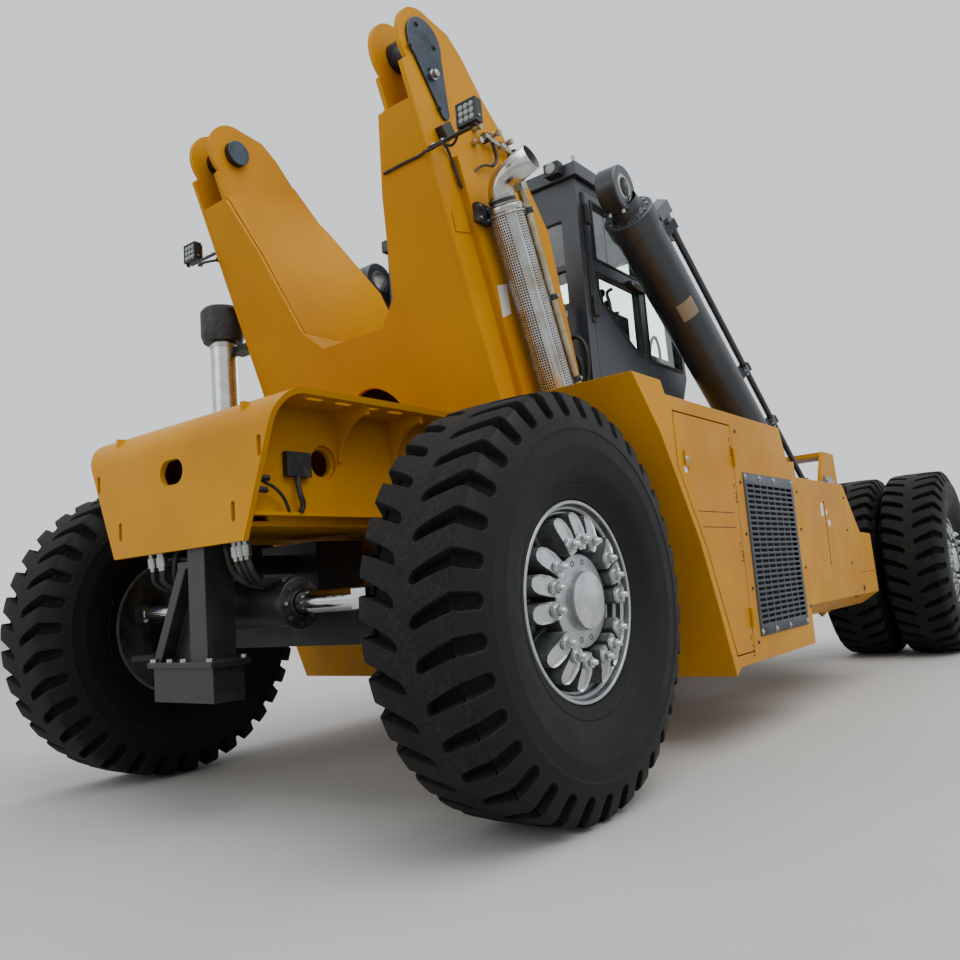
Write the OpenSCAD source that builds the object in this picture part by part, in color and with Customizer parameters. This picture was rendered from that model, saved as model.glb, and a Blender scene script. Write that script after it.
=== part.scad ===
// Reach stacker without boom, spreader and counterweight, as it is shipped.
// Frame: X forward, Y to the left, Z up, origin on the ground midway between the axles.

/* [Chassis] */
// Distance between the rear and front axle centres
wheelbase = 6000; // [5600:50:6400]
// Top of the chassis deck above the ground
deck_z = 1750; // [1700:10:1800]
// Half distance between the outer faces of the two frame webs
web_y = 460; // [420:10:480]
// Thickness of a frame web
web_t = 30; // [20:1:40]
// Underside of the frame between the axles
frame_low = 640; // [560:10:720]
// Underside of the frame above the steer axle
frame_arch = 1240; // [1200:10:1280]
// How far the frame reaches in front of the front axle
front_reach = 600; // [450:10:700]
// Front end of the arch over the steer axle, ahead of that axle
arch_end = 420; // [380:10:460]
// Length of the slope from the arch down to the frame's underside
arch_slope = 480; // [400:10:560]
// Underside of the frame above the drive axle
saddle_z = 1040; // [1030:5:1060]
// Underside of the frame's nose
nose_low = 1180; // [1120:10:1240]
// Top of the frame's nose
nose_top = 1440; // [1380:10:1500]
// Front end of the deck behind the front axle
deck_end = 1420; // [1380:10:1500]
// Inner face of the inner ear that holds a lift cylinder's foot, from the middle plane
beam_y = 840; // [820:5:860]
// Underside of the beam under those ears
beam_low = 800; // [760:10:840]
// Height of that beam
beam_h = 180; // [140:10:220]
// Top of the ears at their front
ear_top = 1830; // [1780:10:1880]
// Plate thickness of those ears
beam_t = 30; // [20:1:36]

// Cross plates between the webs ahead of the rear axle
cross_rear = 900; // [850:10:950]
cross_front = 3700; // [3600:10:3800]
// Back of the engine ahead of the rear axle
engine_x = 1000; // [950:10:1100]
// Length of the engine
engine_l = 1300; // [1200:10:1400]
// Width of the engine
engine_w = 760; // [700:10:800]
// Height of the engine
engine_h = 900; // [850:10:950]
// Underside of the engine above the ground
engine_low = 700; // [650:10:750]
// Length of the gearbox
gearbox_l = 700; // [600:10:800]
// Width of the gearbox
gearbox_w = 600; // [500:10:700]
// Height of the gearbox
gearbox_h = 600; // [500:10:700]

/* [Tail] */
// Distance from the rear axle back to the tail plate's outer face
tail_back = 772; // [740:4:800]
// Plate thickness of the tail
tail_t = 25; // [16:1:32]
// Outer radius of the bend between tail plate and top plate
tail_bend = 150; // [80:5:200]
// Lower edge of the tail plate above the ground
tail_low = 1160; // [1100:10:1220]
// Half width of the tail plate at its top
tail_top_w = 725; // [640:5:740]
// Half width of the tail plate at its bottom
tail_low_w = 478; // [420:5:520]
// Length of the oblong hole in the tail plate
tail_slot_w = 170; // [120:5:220]
// Height of the oblong hole in the tail plate
tail_slot_h = 110; // [80:5:140]
// Length of each small upright slot in the tail plate
lash_slot = 85; // [60:5:110]
// Half width of the foot of the support post
post_foot_w = 235; // [200:5:260]
// Underside of the support post above the ground
post_low = 520; // [480:10:620]

/* [Towers] */
// Outer face of a tower from the middle plane
tower_y = 840; // [820:5:860]
// Plate thickness of the towers
tower_t = 25; // [16:1:32]
// Outer face of the inner ear from the middle plane
ear_y = 640; // [620:5:660]
// Height of the boom pin above the ground
pin_z = 3540; // [3480:10:3600]
// Boom pin ahead of the rear axle
pin_x = 128; // [100:4:160]
// Radius of the boom pin
pin_r = 73; // [60:1:85]
// Radius of the ear around the boom pin
ear_r = 175; // [150:5:190]
// Inboard end of the boom pin beyond the ear
pin_proud = 40; // [20:5:60]
// Half width of the gap between the towers at its bottom
gap_low_w = 230; // [200:5:260]
// Bottom of the gap between the towers above the ground
gap_low_z = 2310; // [2260:10:2360]
// Top of the leaning plate between the towers
box_top = 3225; // [3180:5:3260]
// Half width of the hole at the towers' foot
foot_hole_w = 220; // [160:5:260]
// Top of the hole at the towers' foot above the ground
foot_hole_z = 2040; // [1980:10:2080]

/* [Wheels] */
// Radius of a tyre over its tread
tyre_r = 825; // [780:5:840]
// Width of a tyre
tyre_w = 520; // [500:10:540]
// Depth of the tread grooves
lug_deep = 55; // [40:1:65]
// Number of tread lugs on each side of a tyre
lug_n = 18; // [16:1:18]
// How far the lugs slant round the tyre, in degrees
lug_slant = 4; // [0:1:5]
// Half the rib along the middle of the tread
rib_half = 28; // [20:1:40]
// Shoulder of the lugs in from the side wall
lug_in = 22; // [15:1:30]
// Radius of the rim at its flange
rim_r = 381; // [360:1:390]
// Distance between the two flange faces of a rim
rim_w = 370; // [350:5:390]
// Radius of the hub cap
cap_r = 112; // [90:1:130]
// Radius of the wheel hub's flange
hub_r = 185; // [175:1:190]
// Middle of a rear tyre from the middle plane
rear_y = 1345; // [1330:5:1370]
// Kingpin axis from the middle plane
kingpin_y = 1180; // [1170:5:1190]
// Middle of an inner front tyre from the middle plane
front_in_y = 1140; // [1130:5:1160]
// Distance between the middles of twin tyres
twin_gap = 550; // [530:5:570]

/* [Sides] */
// Outer face of the side bodies from the middle plane
side_y = 1600; // [1560:5:1640]
// Sheet thickness of the side bodies
sheet_t = 12; // [8:1:16]
// Underside of the side bodies above the ground
side_low = 407; // [380:5:430]
// Rear edge of the side door, ahead of the rear axle
door_x = 1010; // [1000:5:1040]
// Hinge line of the side door, ahead of the rear axle
door_hinge_x = 1560; // [1540:5:1580]
// Lower edge of the side door above the ground
door_low = 470; // [450:5:500]
// Upper edge of the side door above the ground
door_top = 1660; // [1600:5:1680]
// Gap around a side door
door_gap = 7; // [6:1:10]
// Rear edge of the grille, ahead of the rear axle
grille_x = 1690; // [1660:5:1720]
// Length of the grille
grille_w = 800; // [700:10:840]
// Lower edge of the grille above the ground
grille_low = 540; // [520:5:580]
// Height of the grille
grille_h = 876; // [800:4:900]
// Number of slats in a grille
slat_n = 27; // [20:1:32]
// Gap between the side tank and the ears in front of it
tank_gap = 10; // [6:1:30]
// Rear end of the side tank, ahead of the rear axle
tank_rear = 2600; // [2600:10:2700]
// Top of the side tank
tank_top = 1443; // [1400:10:1480]
// Top of the low front part of the side tank
tank_step = 1090; // [1050:10:1140]
// Underside of the side tank
tank_low = 553; // [520:5:600]

/* [Cab] */
// Rear face of the cab, ahead of the rear axle
cab_x = 1570; // [1550:5:1600]
// Length of the cab
cab_l = 1400; // [1300:10:1500]
// Half width of the cab
cab_y = 800; // [760:5:820]
// Thickness of the cab's walls
cab_t = 50; // [40:1:60]
// Top of the cab's walls above the ground
cab_top = 3380; // [3300:10:3420]
// Thickness of the cab's floor
floor_t = 60; // [50:5:80]
// Thickness of the cab's roof
roof_t = 110; // [80:5:140]
// Thickness of the glass
glass_t = 6; // [5:1:8]

/* [Lift cylinders] */
// Cylinder axis from the middle plane
lift_y = 1030; // [1025:1:1040]
// Foot pivot of a lift cylinder behind the front axle
lift_back = 1550; // [1500:10:1600]
// Foot pivot of a lift cylinder above the ground
lift_z = 1200; // [1150:10:1250]
// Distance from foot pivot to rod eye, closed
lift_len = 3460; // [3400:10:3500]
// Slope of a lift cylinder at rest
lift_lean = 36; // [35:0.5:37]
// Outer radius of the barrel
barrel_r = 150; // [140:1:155]
// Radius of the rod
rod_r = 100; // [80:1:110]
// Outer radius of the rod eye
eye_r = 140; // [125:1:150]
// Radius of the bore in the rod eye
eye_bore_r = 60; // [50:1:70]
// Width of the rod eye
eye_w = 130; // [100:5:150]

/* [Outfit] */
// Radius of the perforated exhaust shield
shield_r = 88; // [80:1:92]
// Length of the exhaust shield
shield_l = 1040; // [940:10:1140]
// Radius of the exhaust pipe at its mouth
pipe_r = 65; // [55:1:72]
// Radius of the air cleaner's cap
cleaner_r = 130; // [110:5:150]
// Underside of the air cleaner's cap
cleaner_z = 2550; // [2500:10:2600]
// Radius of the air cleaner's pipe
intake_r = 75; // [65:1:85]
// Side length of a work lamp
lamp_w = 115; // [90:5:130]

/* [Hidden] */
$fn = 64;
fit = 0.3;
run_gap = 6;
foot_pin_r = 55;
lift_x = wheelbase - lift_back;
tank_front = lift_x - 90 - tank_gap;
xr = -wheelbase / 2;
xf = wheelbase / 2;
frame_top = deck_z;
cab_low = deck_z;
floor_z = cab_low + floor_t;
cab_front = cab_x + cab_l;
lift_tilt = 90 - lift_lean;
hinge_out = 8;
keeper_r = 125;
shield_x = 885;
shield_y = 980;
shield_z = 1810;
shield_lean = atan(0.39);
elbow_r = 100;
elbow_bend = 73;
mouth_turn = 55;
tail_front = 588;
tail_slot_z = 1500;
axle_z = tyre_r;
pad_z = saddle_z - 40;
bead_r = rim_r + 4;
half_pitch = 180 / lug_n;
// Edges across a lug: [place in half pitches, 1 on top of the lug].
lug_edges = [[-0.7, 0], [-0.6, 1], [0.6, 1], [0.7, 0]];
// The lugs' corners stand out so far that a flat side of the tread rests on the ground.
lug_top_r = tyre_r / cos(0.4 * half_pitch);
lug_floor_r = tyre_r - lug_deep;
wide_r = rim_r + 220;
bead_y = rim_w / 2 - 20;
// Rings across a tyre: [place along the axle, radius of the floor, radius of the lugs, turn].
tyre_rings = [
    [-bead_y, bead_r / cos(half_pitch / 2), bead_r / cos(half_pitch / 2), half_pitch],
    [-tyre_w / 2, wide_r, wide_r, half_pitch],
    [lug_in - tyre_w / 2, lug_floor_r - 12, lug_top_r - 12, half_pitch + lug_slant],
    [-rib_half, lug_floor_r, lug_top_r, half_pitch],
    [0, lug_top_r, lug_top_r, 0],
    [rib_half, lug_floor_r, lug_top_r, 0],
    [tyre_w / 2 - lug_in, lug_floor_r - 12, lug_top_r - 12, lug_slant],
    [tyre_w / 2, wide_r, wide_r, 0],
    [bead_y, bead_r / cos(half_pitch / 2), bead_r / cos(half_pitch / 2), 0],
];

paint = "#e8a020";
dark = "#2b2f36";
black = "#1c1c1e";
silver = "#b9bdc2";

// A plan drawn in X and Z, given a thickness from y up to y + t.
module xz(y, t) {
    translate([0, y + t, 0]) rotate([90, 0, 0]) linear_extrude(t) children();
}

// A plan drawn in Y and Z, given a thickness from x up to x + t.
module yz(x, t) {
    translate([x, 0, 0]) rotate([90, 0, 90]) linear_extrude(t) children();
}

// The piece and its mirror image on the other side.
module both_sides() {
    children();
    mirror([0, 1, 0]) children();
}

// A block between two corners.
module block(low, high) {
    translate(low) cube(high - low);
}

// A cylinder that lies along Y, centred on y.
module rod_y(x, y, z, r, w) {
    translate([x, y + w / 2, z]) rotate([90, 0, 0]) cylinder(r = r, h = w);
}

// Chassis

// Side view of a frame web.
module web_plan() {
    polygon([
        [xr - tail_back + tail_bend, frame_arch], [xr + arch_end, frame_arch],
        [xr + arch_end + arch_slope, frame_low],
        [xf - 900, frame_low], [xf - 520, saddle_z], [xf + 400, saddle_z], [xf + front_reach, nose_low],
        [xf + front_reach, nose_top], [xf - 900, nose_top + 40], [xf - deck_end, frame_top - tail_t],
        [xr - tail_back + tail_bend, frame_top - tail_t],
    ]);
}

ear_hole_x = xr - 330;
ear_t = 40;
rock_r = 45;
rock_z = 1086;
rear_ear_x = xr - 560;
front_ear_x = xr + 360;

// Ear under the frame that holds one end of the steer axle's rocking shaft.
module trunnion_ear(x) {
    yz(x, ear_t) difference() {
        union() {
            translate([0, rock_z]) circle(100);
            translate([-100, rock_z]) square([200, frame_arch - rock_z]);
        }
        translate([0, rock_z]) circle(rock_r + fit);
    }
}

module chassis_frame() color(paint) {
    both_sides() difference() {
        xz(web_y - web_t, web_t) web_plan();
        rod_y(ear_hole_x, web_y, 1500, 60, 3 * web_t);
    }
    // Bottom flange along the rear part and cross plates between the webs.
    block([xr - tail_back + tail_t, -web_y, frame_arch - 20], [xr + 400, web_y, frame_arch]);
    difference() {
        for (x = [xr + cross_rear, xr + cross_front])
            block([x, -web_y + web_t, frame_low], [x + 30, web_y - web_t, frame_top - tail_t]);
        translate([xr + cross_front - 100, 0, axle_z]) rotate([0, 90, 0]) cylinder(r = 110, h = 200);
    }
    block([xf + front_reach - web_t, -web_y + web_t, nose_low], [xf + front_reach, web_y - web_t, nose_top]);
    block([xf - 880, -web_y + web_t, nose_top - 20], [xf + front_reach - web_t, web_y - web_t, nose_top]);
    trunnion_ear(rear_ear_x);
    trunnion_ear(front_ear_x);
    // Pads above the drive axle.
    both_sides() block([xf - 150, web_y - web_t, pad_z], [xf + 150, web_y + 40, saddle_z]);
}

// Deck that carries the towers and the cab and reaches the side bodies.
module deck_plate() color(paint)
    block([xr + tail_front, -tower_y - 15, frame_top - tail_t], [xf - deck_end, tower_y + 15, frame_top]);

ear_rear_x = xr + lift_x - 90;
ear_front_x = xr + lift_x + 610;
beam_out = 2 * lift_y - beam_y;

module front_beam() color(paint) {
    difference() {
        both_sides() {
            block([ear_rear_x, web_y, beam_low], [ear_front_x, beam_y, beam_low + beam_h]);
            for (y = [beam_y, beam_out - beam_t])
                xz(y, beam_t) polygon([
                    [ear_rear_x, beam_low], [ear_front_x, beam_low], [ear_front_x, 1240],
                    [ear_front_x - 60, ear_top], [ear_front_x - 380, ear_top], [ear_rear_x, lift_z + 90],
                ]);
            block([ear_rear_x, beam_y + beam_t, beam_low], [ear_front_x, beam_out - beam_t, beam_low + beam_t]);
        }
        both_sides() rod_y(xr + lift_x, lift_y, lift_z, foot_pin_r + fit, 500);
    }
    both_sides() rod_y(xr + lift_x, lift_y, lift_z, foot_pin_r, 2 * (lift_y - beam_y) + 30);
    // Plate across the top of a pair of ears.
    both_sides() block([ear_front_x - 380, beam_y + beam_t, ear_top - 40],
        [ear_front_x - 60, beam_out - beam_t, ear_top]);
}

// Tail

module tail_profile() {
    z0 = deck_z;
    x0 = xr - tail_back;
    translate([x0, tail_low]) square([tail_t, z0 - tail_bend - tail_low]);
    translate([x0 + tail_bend, z0 - tail_t]) square([tail_back + tail_front - tail_bend, tail_t]);
    intersection() {
        translate([x0 + tail_bend, z0 - tail_bend]) difference() {
            circle(tail_bend);
            circle(tail_bend - tail_t);
        }
        translate([x0, z0 - tail_bend]) square(tail_bend);
    }
}

// A round-ended slot, l long along X and w wide, centred.
module slot(l, w) {
    square([l - w, w], center = true);
    for (side = [-1, 1]) translate([side * (l - w) / 2, 0]) circle(w / 2);
}

// A cut through the tail plate, centred on y and z.
module tail_cut(y, z) yz(xr - tail_back - 10, tail_t + 20) translate([y, z]) children();

module tail_frame() color(paint) {
    z0 = deck_z;
    difference() {
        intersection() {
            xz(-800, 1600) tail_profile();
            yz(xr - 900, 1600) polygon([
                [-tail_low_w, tail_low], [tail_low_w, tail_low],
                [tail_top_w, z0], [-tail_top_w, z0],
            ]);
        }
        // Oblong hole in the tail plate.
        tail_cut(0, tail_slot_z) slot(tail_slot_w, tail_slot_h);
        // Small upright slots near the edges.
        for (p = [[420, 1282], [600, 1522]]) both_sides() tail_cut(p[0], p[1]) rotate(90) slot(lash_slot, 26);
        // Oval holes along the edge of the top plate.
        for (x = [-520, -360, -200, -40]) both_sides()
            translate([xr + x, 655, z0 - 60]) linear_extrude(100) slot(90, 34);
    }
    // Recessed side webs with a lower flange and two gussets.
    both_sides() {
        difference() {
            block([xr - tail_back + tail_t, web_y, 1260], [xr + tail_front - 28, web_y + 20, z0 - tail_t]);
            rod_y(ear_hole_x, web_y + 10, 1500, 75, 60);
        }
        // Curved gussets between side web and top plate.
        for (x = [-250, 100]) yz(xr + x, 20) difference() {
            translate([web_y + 20, z0 - tail_t - 220]) square([200, 220]);
            translate([web_y + 20 + 200, z0 - tail_t - 220]) circle(185);
        }
        block([xr - tail_back + tail_t, web_y + 20, 1260], [xr + tail_front - 28, web_y + 50, 1275]);
    }
}

module tail_post() color(dark) {
    x0 = xr - 745;
    x1 = xr - 600;
    top_z = frame_arch - 20;
    foot_z = post_low + 170;
    left = -post_foot_w + 60;
    // Upright and the rib that slopes away from its foot.
    block([x0, left, foot_z], [x1, left + 120, top_z]);
    yz(x0, x1 - x0) polygon([
        [post_foot_w - 70, foot_z], [post_foot_w - 10, foot_z], [20, top_z - 140], [-40, top_z - 140],
    ]);
    block([x0, left + 120, top_z - 140], [x1, 20, top_z - 110]);
    // Web between the two.
    yz(xr - 680, 16) polygon([
        [left + 120, foot_z], [post_foot_w - 40, foot_z], [0, top_z - 130], [left + 120, top_z - 130],
    ]);
    block([x0 - 25, -post_foot_w, post_low + 145], [x1 + 25, post_foot_w, foot_z]);
    block([x0 - 5, -post_foot_w + 20, post_low], [x1 + 5, post_foot_w - 20, post_low + 145]);
}

// Towers

function back_x(z) = xr + 1220 - 0.371 * z;
back_lean = atan(0.371);
back_tx = tower_t / cos(back_lean);

// Front edge of a tower from below its ear down to the deck, from the rear axle.
tower_front = [[850, 3240], [1140, 2880], [1340, 2080], [1500, deck_z]];
function front_edge() = [for (p = tower_front) [xr + p[0], p[1]]];

// Side view of a tower, from its foot to the ear.
module tower_plan(cut = 0) {
    difference() {
        union() {
            polygon(concat([
                [back_x(frame_top) + cut, frame_top], [back_x(3383) + cut, 3383], [xr + pin_x, pin_z],
                [xr + 240, 3675], [xr + 440, 3610], [xr + 590, 3450],
            ], front_edge()));
            translate([xr + pin_x, pin_z]) circle(ear_r);
            polygon([
                [xr + pin_x, pin_z], [xr + pin_x + 40, pin_z + 170], [xr + 330, 3690], [xr + 440, 3610],
            ]);
        }
        translate([xr + pin_x, pin_z]) circle(pin_r + 0.05);
    }
}

// The box part of a tower, below the cap plate under the ears.
module tower_box_plan() {
    polygon(concat([
        [back_x(frame_top) + back_tx, frame_top], [back_x(box_top) + back_tx, box_top + tower_t], [xr + 586, 3490],
    ], front_edge()));
}

channel_out = 40;
channel_low = 1800;
channel_top = 2950;
gap = [[ear_y, 3300], [490, 2890], [360, 2430], [gap_low_w, gap_low_z]];

module tower_left() color(paint) {
    // Outer plate with its ear.
    xz(tower_y - tower_t, tower_t) tower_plan();
    // Inner ear.
    intersection() {
        xz(ear_y, tower_t) tower_plan(back_tx);
        block([xr - 300, 0, box_top], [xr + 900, tower_y, pin_z + 260]);
    }
    // Front plate between outer plate and slanted inner plate.
    intersection() {
        difference() {
            xz(0, tower_y - tower_t) tower_box_plan();
            translate([-tower_t, 0, -tower_t]) xz(-1, tower_y) tower_box_plan();
        }
        yz(xr - 300, 2200) polygon([
            [360, frame_top], [360, 2430], [490, 2890], [ear_y + 5, 3300], [ear_y + tower_t, 3700],
            [tower_y - tower_t, 3700], [tower_y - tower_t, frame_top],
        ]);
    }
    // Slanted inner plate along the gap.
    intersection() {
        xz(0, tower_y - tower_t) tower_box_plan();
        yz(xr - 300, 2200) polygon([
            [360, 2430], [490, 2890], [ear_y, 3300], [ear_y + tower_t, 3300], [490 + tower_t, 2890],
            [360 + tower_t, 2430],
        ]);
    }
}

// Raised cover along the outer plate, parallel to the tower's leaning edge.
module tower_channel() {
    near = 160;
    far = 355;
    xz(tower_y, channel_out) polygon([
        [back_x(channel_low) + near, channel_low], [back_x(channel_low) + far, channel_low],
        [back_x(channel_top) + far, channel_top], [back_x(channel_top) + near, channel_top + 60],
    ]);
}

module tower_right() color(paint) mirror([0, 1, 0]) {
    tower_left();
    tower_channel();
}

module tower_back() color(paint) {
    // Leaning plate with the gap and the hole at its foot.
    difference() {
        intersection() {
            xz(-tower_y + tower_t, 2 * (tower_y - tower_t)) polygon([
                [back_x(frame_top), frame_top], [back_x(box_top), box_top],
                [back_x(box_top) + back_tx, box_top], [back_x(frame_top) + back_tx, frame_top],
            ]);
            yz(xr - 300, 2200) difference() {
                translate([-tower_y, frame_top]) square([2 * tower_y, 1600]);
                polygon(concat(
                    [for (p = gap) p], [for (i = [3:-1:0]) [-gap[i][0], gap[i][1]]], [[-ear_y, 3400], [ear_y, 3400]]
                ));
                translate([0, foot_hole_z - foot_hole_w]) circle(foot_hole_w);
                translate([-foot_hole_w, frame_top - 1])
                    square([2 * foot_hole_w, foot_hole_z - foot_hole_w - frame_top + 1]);
            }
        }
    }
    // Saddle plate across the bottom of the gap.
    intersection() {
        xz(-400, 800) tower_box_plan();
        yz(xr - 300, 2200) polygon([
            [360, 2430], [gap_low_w, gap_low_z], [-gap_low_w, gap_low_z], [-360, 2430],
            [-360, 2430 - tower_t], [-gap_low_w, gap_low_z - tower_t], [gap_low_w, gap_low_z - tower_t],
            [360, 2430 - tower_t],
        ]);
    }
}

module boom_pins() color("#7f8a96") {
    both_sides() rod_y(xr + pin_x, (tower_y + ear_y - pin_proud) / 2, pin_z, pin_r, tower_y - ear_y + pin_proud);
    // Keeper plate on the right: a round head with a tapering tail.
    mirror([0, 1, 0]) xz(tower_y, 14) {
        translate([xr + pin_x, pin_z]) circle(keeper_r);
        translate([xr + 252, 3227]) circle(34);
        polygon([
            [xr + pin_x - 115, pin_z - 49], [xr + pin_x + 115, pin_z + 49], [xr + 283, 3241], [xr + 221, 3214],
        ]);
    }
}

// Wheels

// Corners of a ring around the Y axis: two for each lug on a plain ring, four on a lugged one.
function ring_point(y, r, turn) = [r * sin(turn), y, -r * cos(turn)];
function ring_points(ring) = let (y = ring[0], floor_r = ring[1], top_r = ring[2], turn = ring[3])
    floor_r == top_r
        ? [for (i = [0 : 2 * lug_n - 1]) ring_point(y, top_r, turn + (i - 0.5) * half_pitch)]
        : [for (i = [0 : lug_n - 1], edge = lug_edges)
            ring_point(y, edge[1] == 1 ? top_r : floor_r, turn + (2 * i + edge[0]) * half_pitch)];
function ring_size(ring) = (ring[1] == ring[2] ? 2 : 4) * lug_n;
function ring_start(k) = k == 0 ? 0 : ring_start(k - 1) + ring_size(tyre_rings[k - 1]);
function ring_ids(k, shift = 0) = let (n = ring_size(tyre_rings[k]))
    [for (i = [0 : n - 1]) ring_start(k) + (i + shift) % n];

// Triangles between two rings with as many corners, and between a plain and a lugged one.
function even_band(a, b) = let (n = len(a))
    [for (i = [0 : n - 1]) let (j = (i + 1) % n) each [[a[i], a[j], b[i]], [a[j], b[j], b[i]]]];
function lug_band(plain, lug) = [
    for (i = [0 : lug_n - 1])
        let (p = plain[2 * i], q = plain[2 * i + 1], next_p = plain[(2 * i + 2) % (2 * lug_n)],
            g = [for (k = [0:4]) lug[(4 * i + k) % (4 * lug_n)]])
        each [[p, g[1], g[0]], [p, g[2], g[1]], [p, q, g[2]], [q, g[3], g[2]], [q, g[4], g[3]], [q, next_p, g[4]]]
];
function turned_over(faces) = [for (face = faces) [face[2], face[1], face[0]]];

// A tyre around the Y axis, centred on the origin: one ring of facets from bead to bead.
module tyre() {
    faces = concat(
        even_band(ring_ids(0), ring_ids(1)),
        lug_band(ring_ids(1), ring_ids(2)),
        even_band(ring_ids(2), ring_ids(3)),
        turned_over(lug_band(ring_ids(4, 1), ring_ids(3))),
        lug_band(ring_ids(4), ring_ids(5)),
        even_band(ring_ids(5), ring_ids(6)),
        turned_over(lug_band(ring_ids(7), ring_ids(6))),
        even_band(ring_ids(7), ring_ids(8)),
        even_band(ring_ids(8), ring_ids(0, 2 * lug_n - 1))
    );
    polyhedron(points = [for (ring = tyre_rings) each ring_points(ring)], faces = faces);
}

// Mouth of the bore that turns on the spindle, from the middle of the rim.
hub_y = -10;
spindle_r = 52;

// A rim around the Y axis with its outer side towards +Y, centred on the origin.
module rim() {
    difference() {
        rotate([-90, 0, 0]) rotate_extrude() polygon([
            [rim_r, -rim_w / 2], [bead_r - fit, -rim_w / 2 + 16],
            [bead_r - fit, rim_w / 2 - 16], [rim_r, rim_w / 2],
            [rim_r - 30, rim_w / 2], [rim_r - 44, rim_w / 2 - 40], [rim_r - 60, rim_w / 2 - 90],
            [hub_r, rim_w / 2 - 100], [hub_r, rim_w / 2 + 5], [cap_r, rim_w / 2 + 5],
            [cap_r, rim_w / 2 + 46], [cap_r - 8, rim_w / 2 + 54], [0, rim_w / 2 + 54],
            [0, hub_y + 60], [spindle_r + 0.05, hub_y + 60], [spindle_r + 0.05, hub_y - 5], [110, hub_y - 5],
            [110, hub_y + 70], [rim_r - 70, hub_y + 70], [rim_r - 30, -rim_w / 2],
        ]);
    }
    // Clamps with their studs, in groups of three.
    for (g = [0:4], k = [-1:1]) rotate([0, g * 72 + k * 20, 0]) {
        translate([-24, rim_w / 2 - 101, 205]) cube([48, 125, 130]);
        translate([0, rim_w / 2, 235]) rotate([-90, 0, 0]) cylinder(r = 17, h = 62, $fn = 12);
    }
}

module rear_tyre(side) color(black) translate([xr, side * rear_y, tyre_r]) tyre();
module rear_rim(side) color(silver) translate([xr, side * rear_y, tyre_r]) on_side(side) rim();
// Turns a piece drawn for the left side towards the side it is for.
module on_side(side) mirror([0, side < 0 ? 1 : 0, 0]) children();

module front_tyres(side) color(black)
    for (k = [0, 1]) translate([xf, side * (front_in_y + k * twin_gap), tyre_r]) tyre();

module front_rims(side) color(silver) on_side(side) {
    translate([xf, front_in_y + twin_gap, tyre_r]) rim();
    translate([xf, front_in_y, tyre_r]) rotate([-90, 0, 0]) rotate_extrude() polygon([
        [rim_r, -rim_w / 2], [bead_r - fit, -rim_w / 2 + 16],
        [bead_r - fit, rim_w / 2 - 16], [rim_r, rim_w / 2],
        [rim_r - 12, rim_w / 2], [rim_r - 12, rim_w / 2 + twin_gap - rim_w],
        [rim_r - 30, rim_w / 2 + twin_gap - rim_w], [rim_r - 30, -rim_w / 2],
    ]);
}

// Axles

module steer_axle() color(dark) {
    difference() {
        union() {
            block([xr - 150, -950, axle_z - 130], [xr + 150, 950, axle_z + 130]);
            both_sides() {
                block([xr - 90, 950, axle_z - 100], [xr + 90, kingpin_y - 60, axle_z + 100]);
                translate([xr, kingpin_y, axle_z - 120]) cylinder(r = 88, h = 240);
            }
            // Rocking shaft held by the two trunnion ears.
            translate([rear_ear_x - 20, 0, rock_z]) rotate([0, 90, 0])
                cylinder(r = rock_r, h = front_ear_x - rear_ear_x + ear_t + 40);
            block([xr - 150, -200, axle_z + 130], [xr + 150, 200, 1180]);
        }
        both_sides() translate([xr, kingpin_y, axle_z - 200]) cylinder(r = 40 + 0.05, h = 400);
    }
    // Steering cylinder barrel on its brackets.
    difference() {
        union() {
            rod_y(xr - 420, 0, 900, 100, 760);
            for (y = [-300, 240]) block([xr - 400, y, 840], [xr - 150, y + 60, 940]);
        }
        rod_y(xr - 420, 0, 900, 48 + fit, 900);
    }
}

module steer_rod() color(silver) {
    rod_y(xr - 420, 0, 900, 48, 1500);
    both_sides() block([xr - 470, 750, 860], [xr - 370, 830, 940]);
}

module knuckle_left() color(dark) {
    difference() {
        union() {
            for (z = [axle_z - 120 - run_gap - 40, axle_z + 120 + run_gap])
                translate([xr, kingpin_y, z]) cylinder(r = 86, h = 40);
            block([xr - 86, kingpin_y + 94, axle_z - 166], [xr + 86, kingpin_y + 134, axle_z + 166]);
            for (z = [axle_z - 120 - run_gap - 40, axle_z + 120 + run_gap])
                block([xr - 86, kingpin_y, z], [xr + 86, kingpin_y + 100, z + 40]);
            // Kingpin.
            translate([xr, kingpin_y, axle_z - 166]) cylinder(r = 40, h = 332);
            steering_arm();
        }
    }
    // Spindle that the wheel turns on.
    spindle(xr, kingpin_y + 130, rear_y + hub_y + 50);
}

// Spindle from y0 out to y1.
module spindle(x, y0, y1) rod_y(x, (y0 + y1) / 2, axle_z, spindle_r, y1 - y0);

module steering_arm() {
    translate([0, 0, axle_z - 166]) linear_extrude(30) polygon([
        [xr - 60, kingpin_y + 40], [xr + 20, kingpin_y - 60], [xr - 330, 900], [xr - 420, 960],
    ]);
}

module knuckle_right() mirror([0, 1, 0]) knuckle_left();

module drive_axle() color(dark) {
    rod_y(xf, 0, axle_z, 150, 2 * front_in_y + 200);
    translate([xf, 0, axle_z]) sphere(r = 280);
    both_sides() {
        block([xf - 150, web_y - web_t, axle_z], [xf + 150, web_y + 40, pad_z]);
        rod_y(xf, 800, axle_z, 230, 100);
        rod_y(xf, 1150, axle_z, 200, 600);
        spindle(xf, 1450, front_in_y + twin_gap + hub_y + 50);
    }
}

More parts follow.
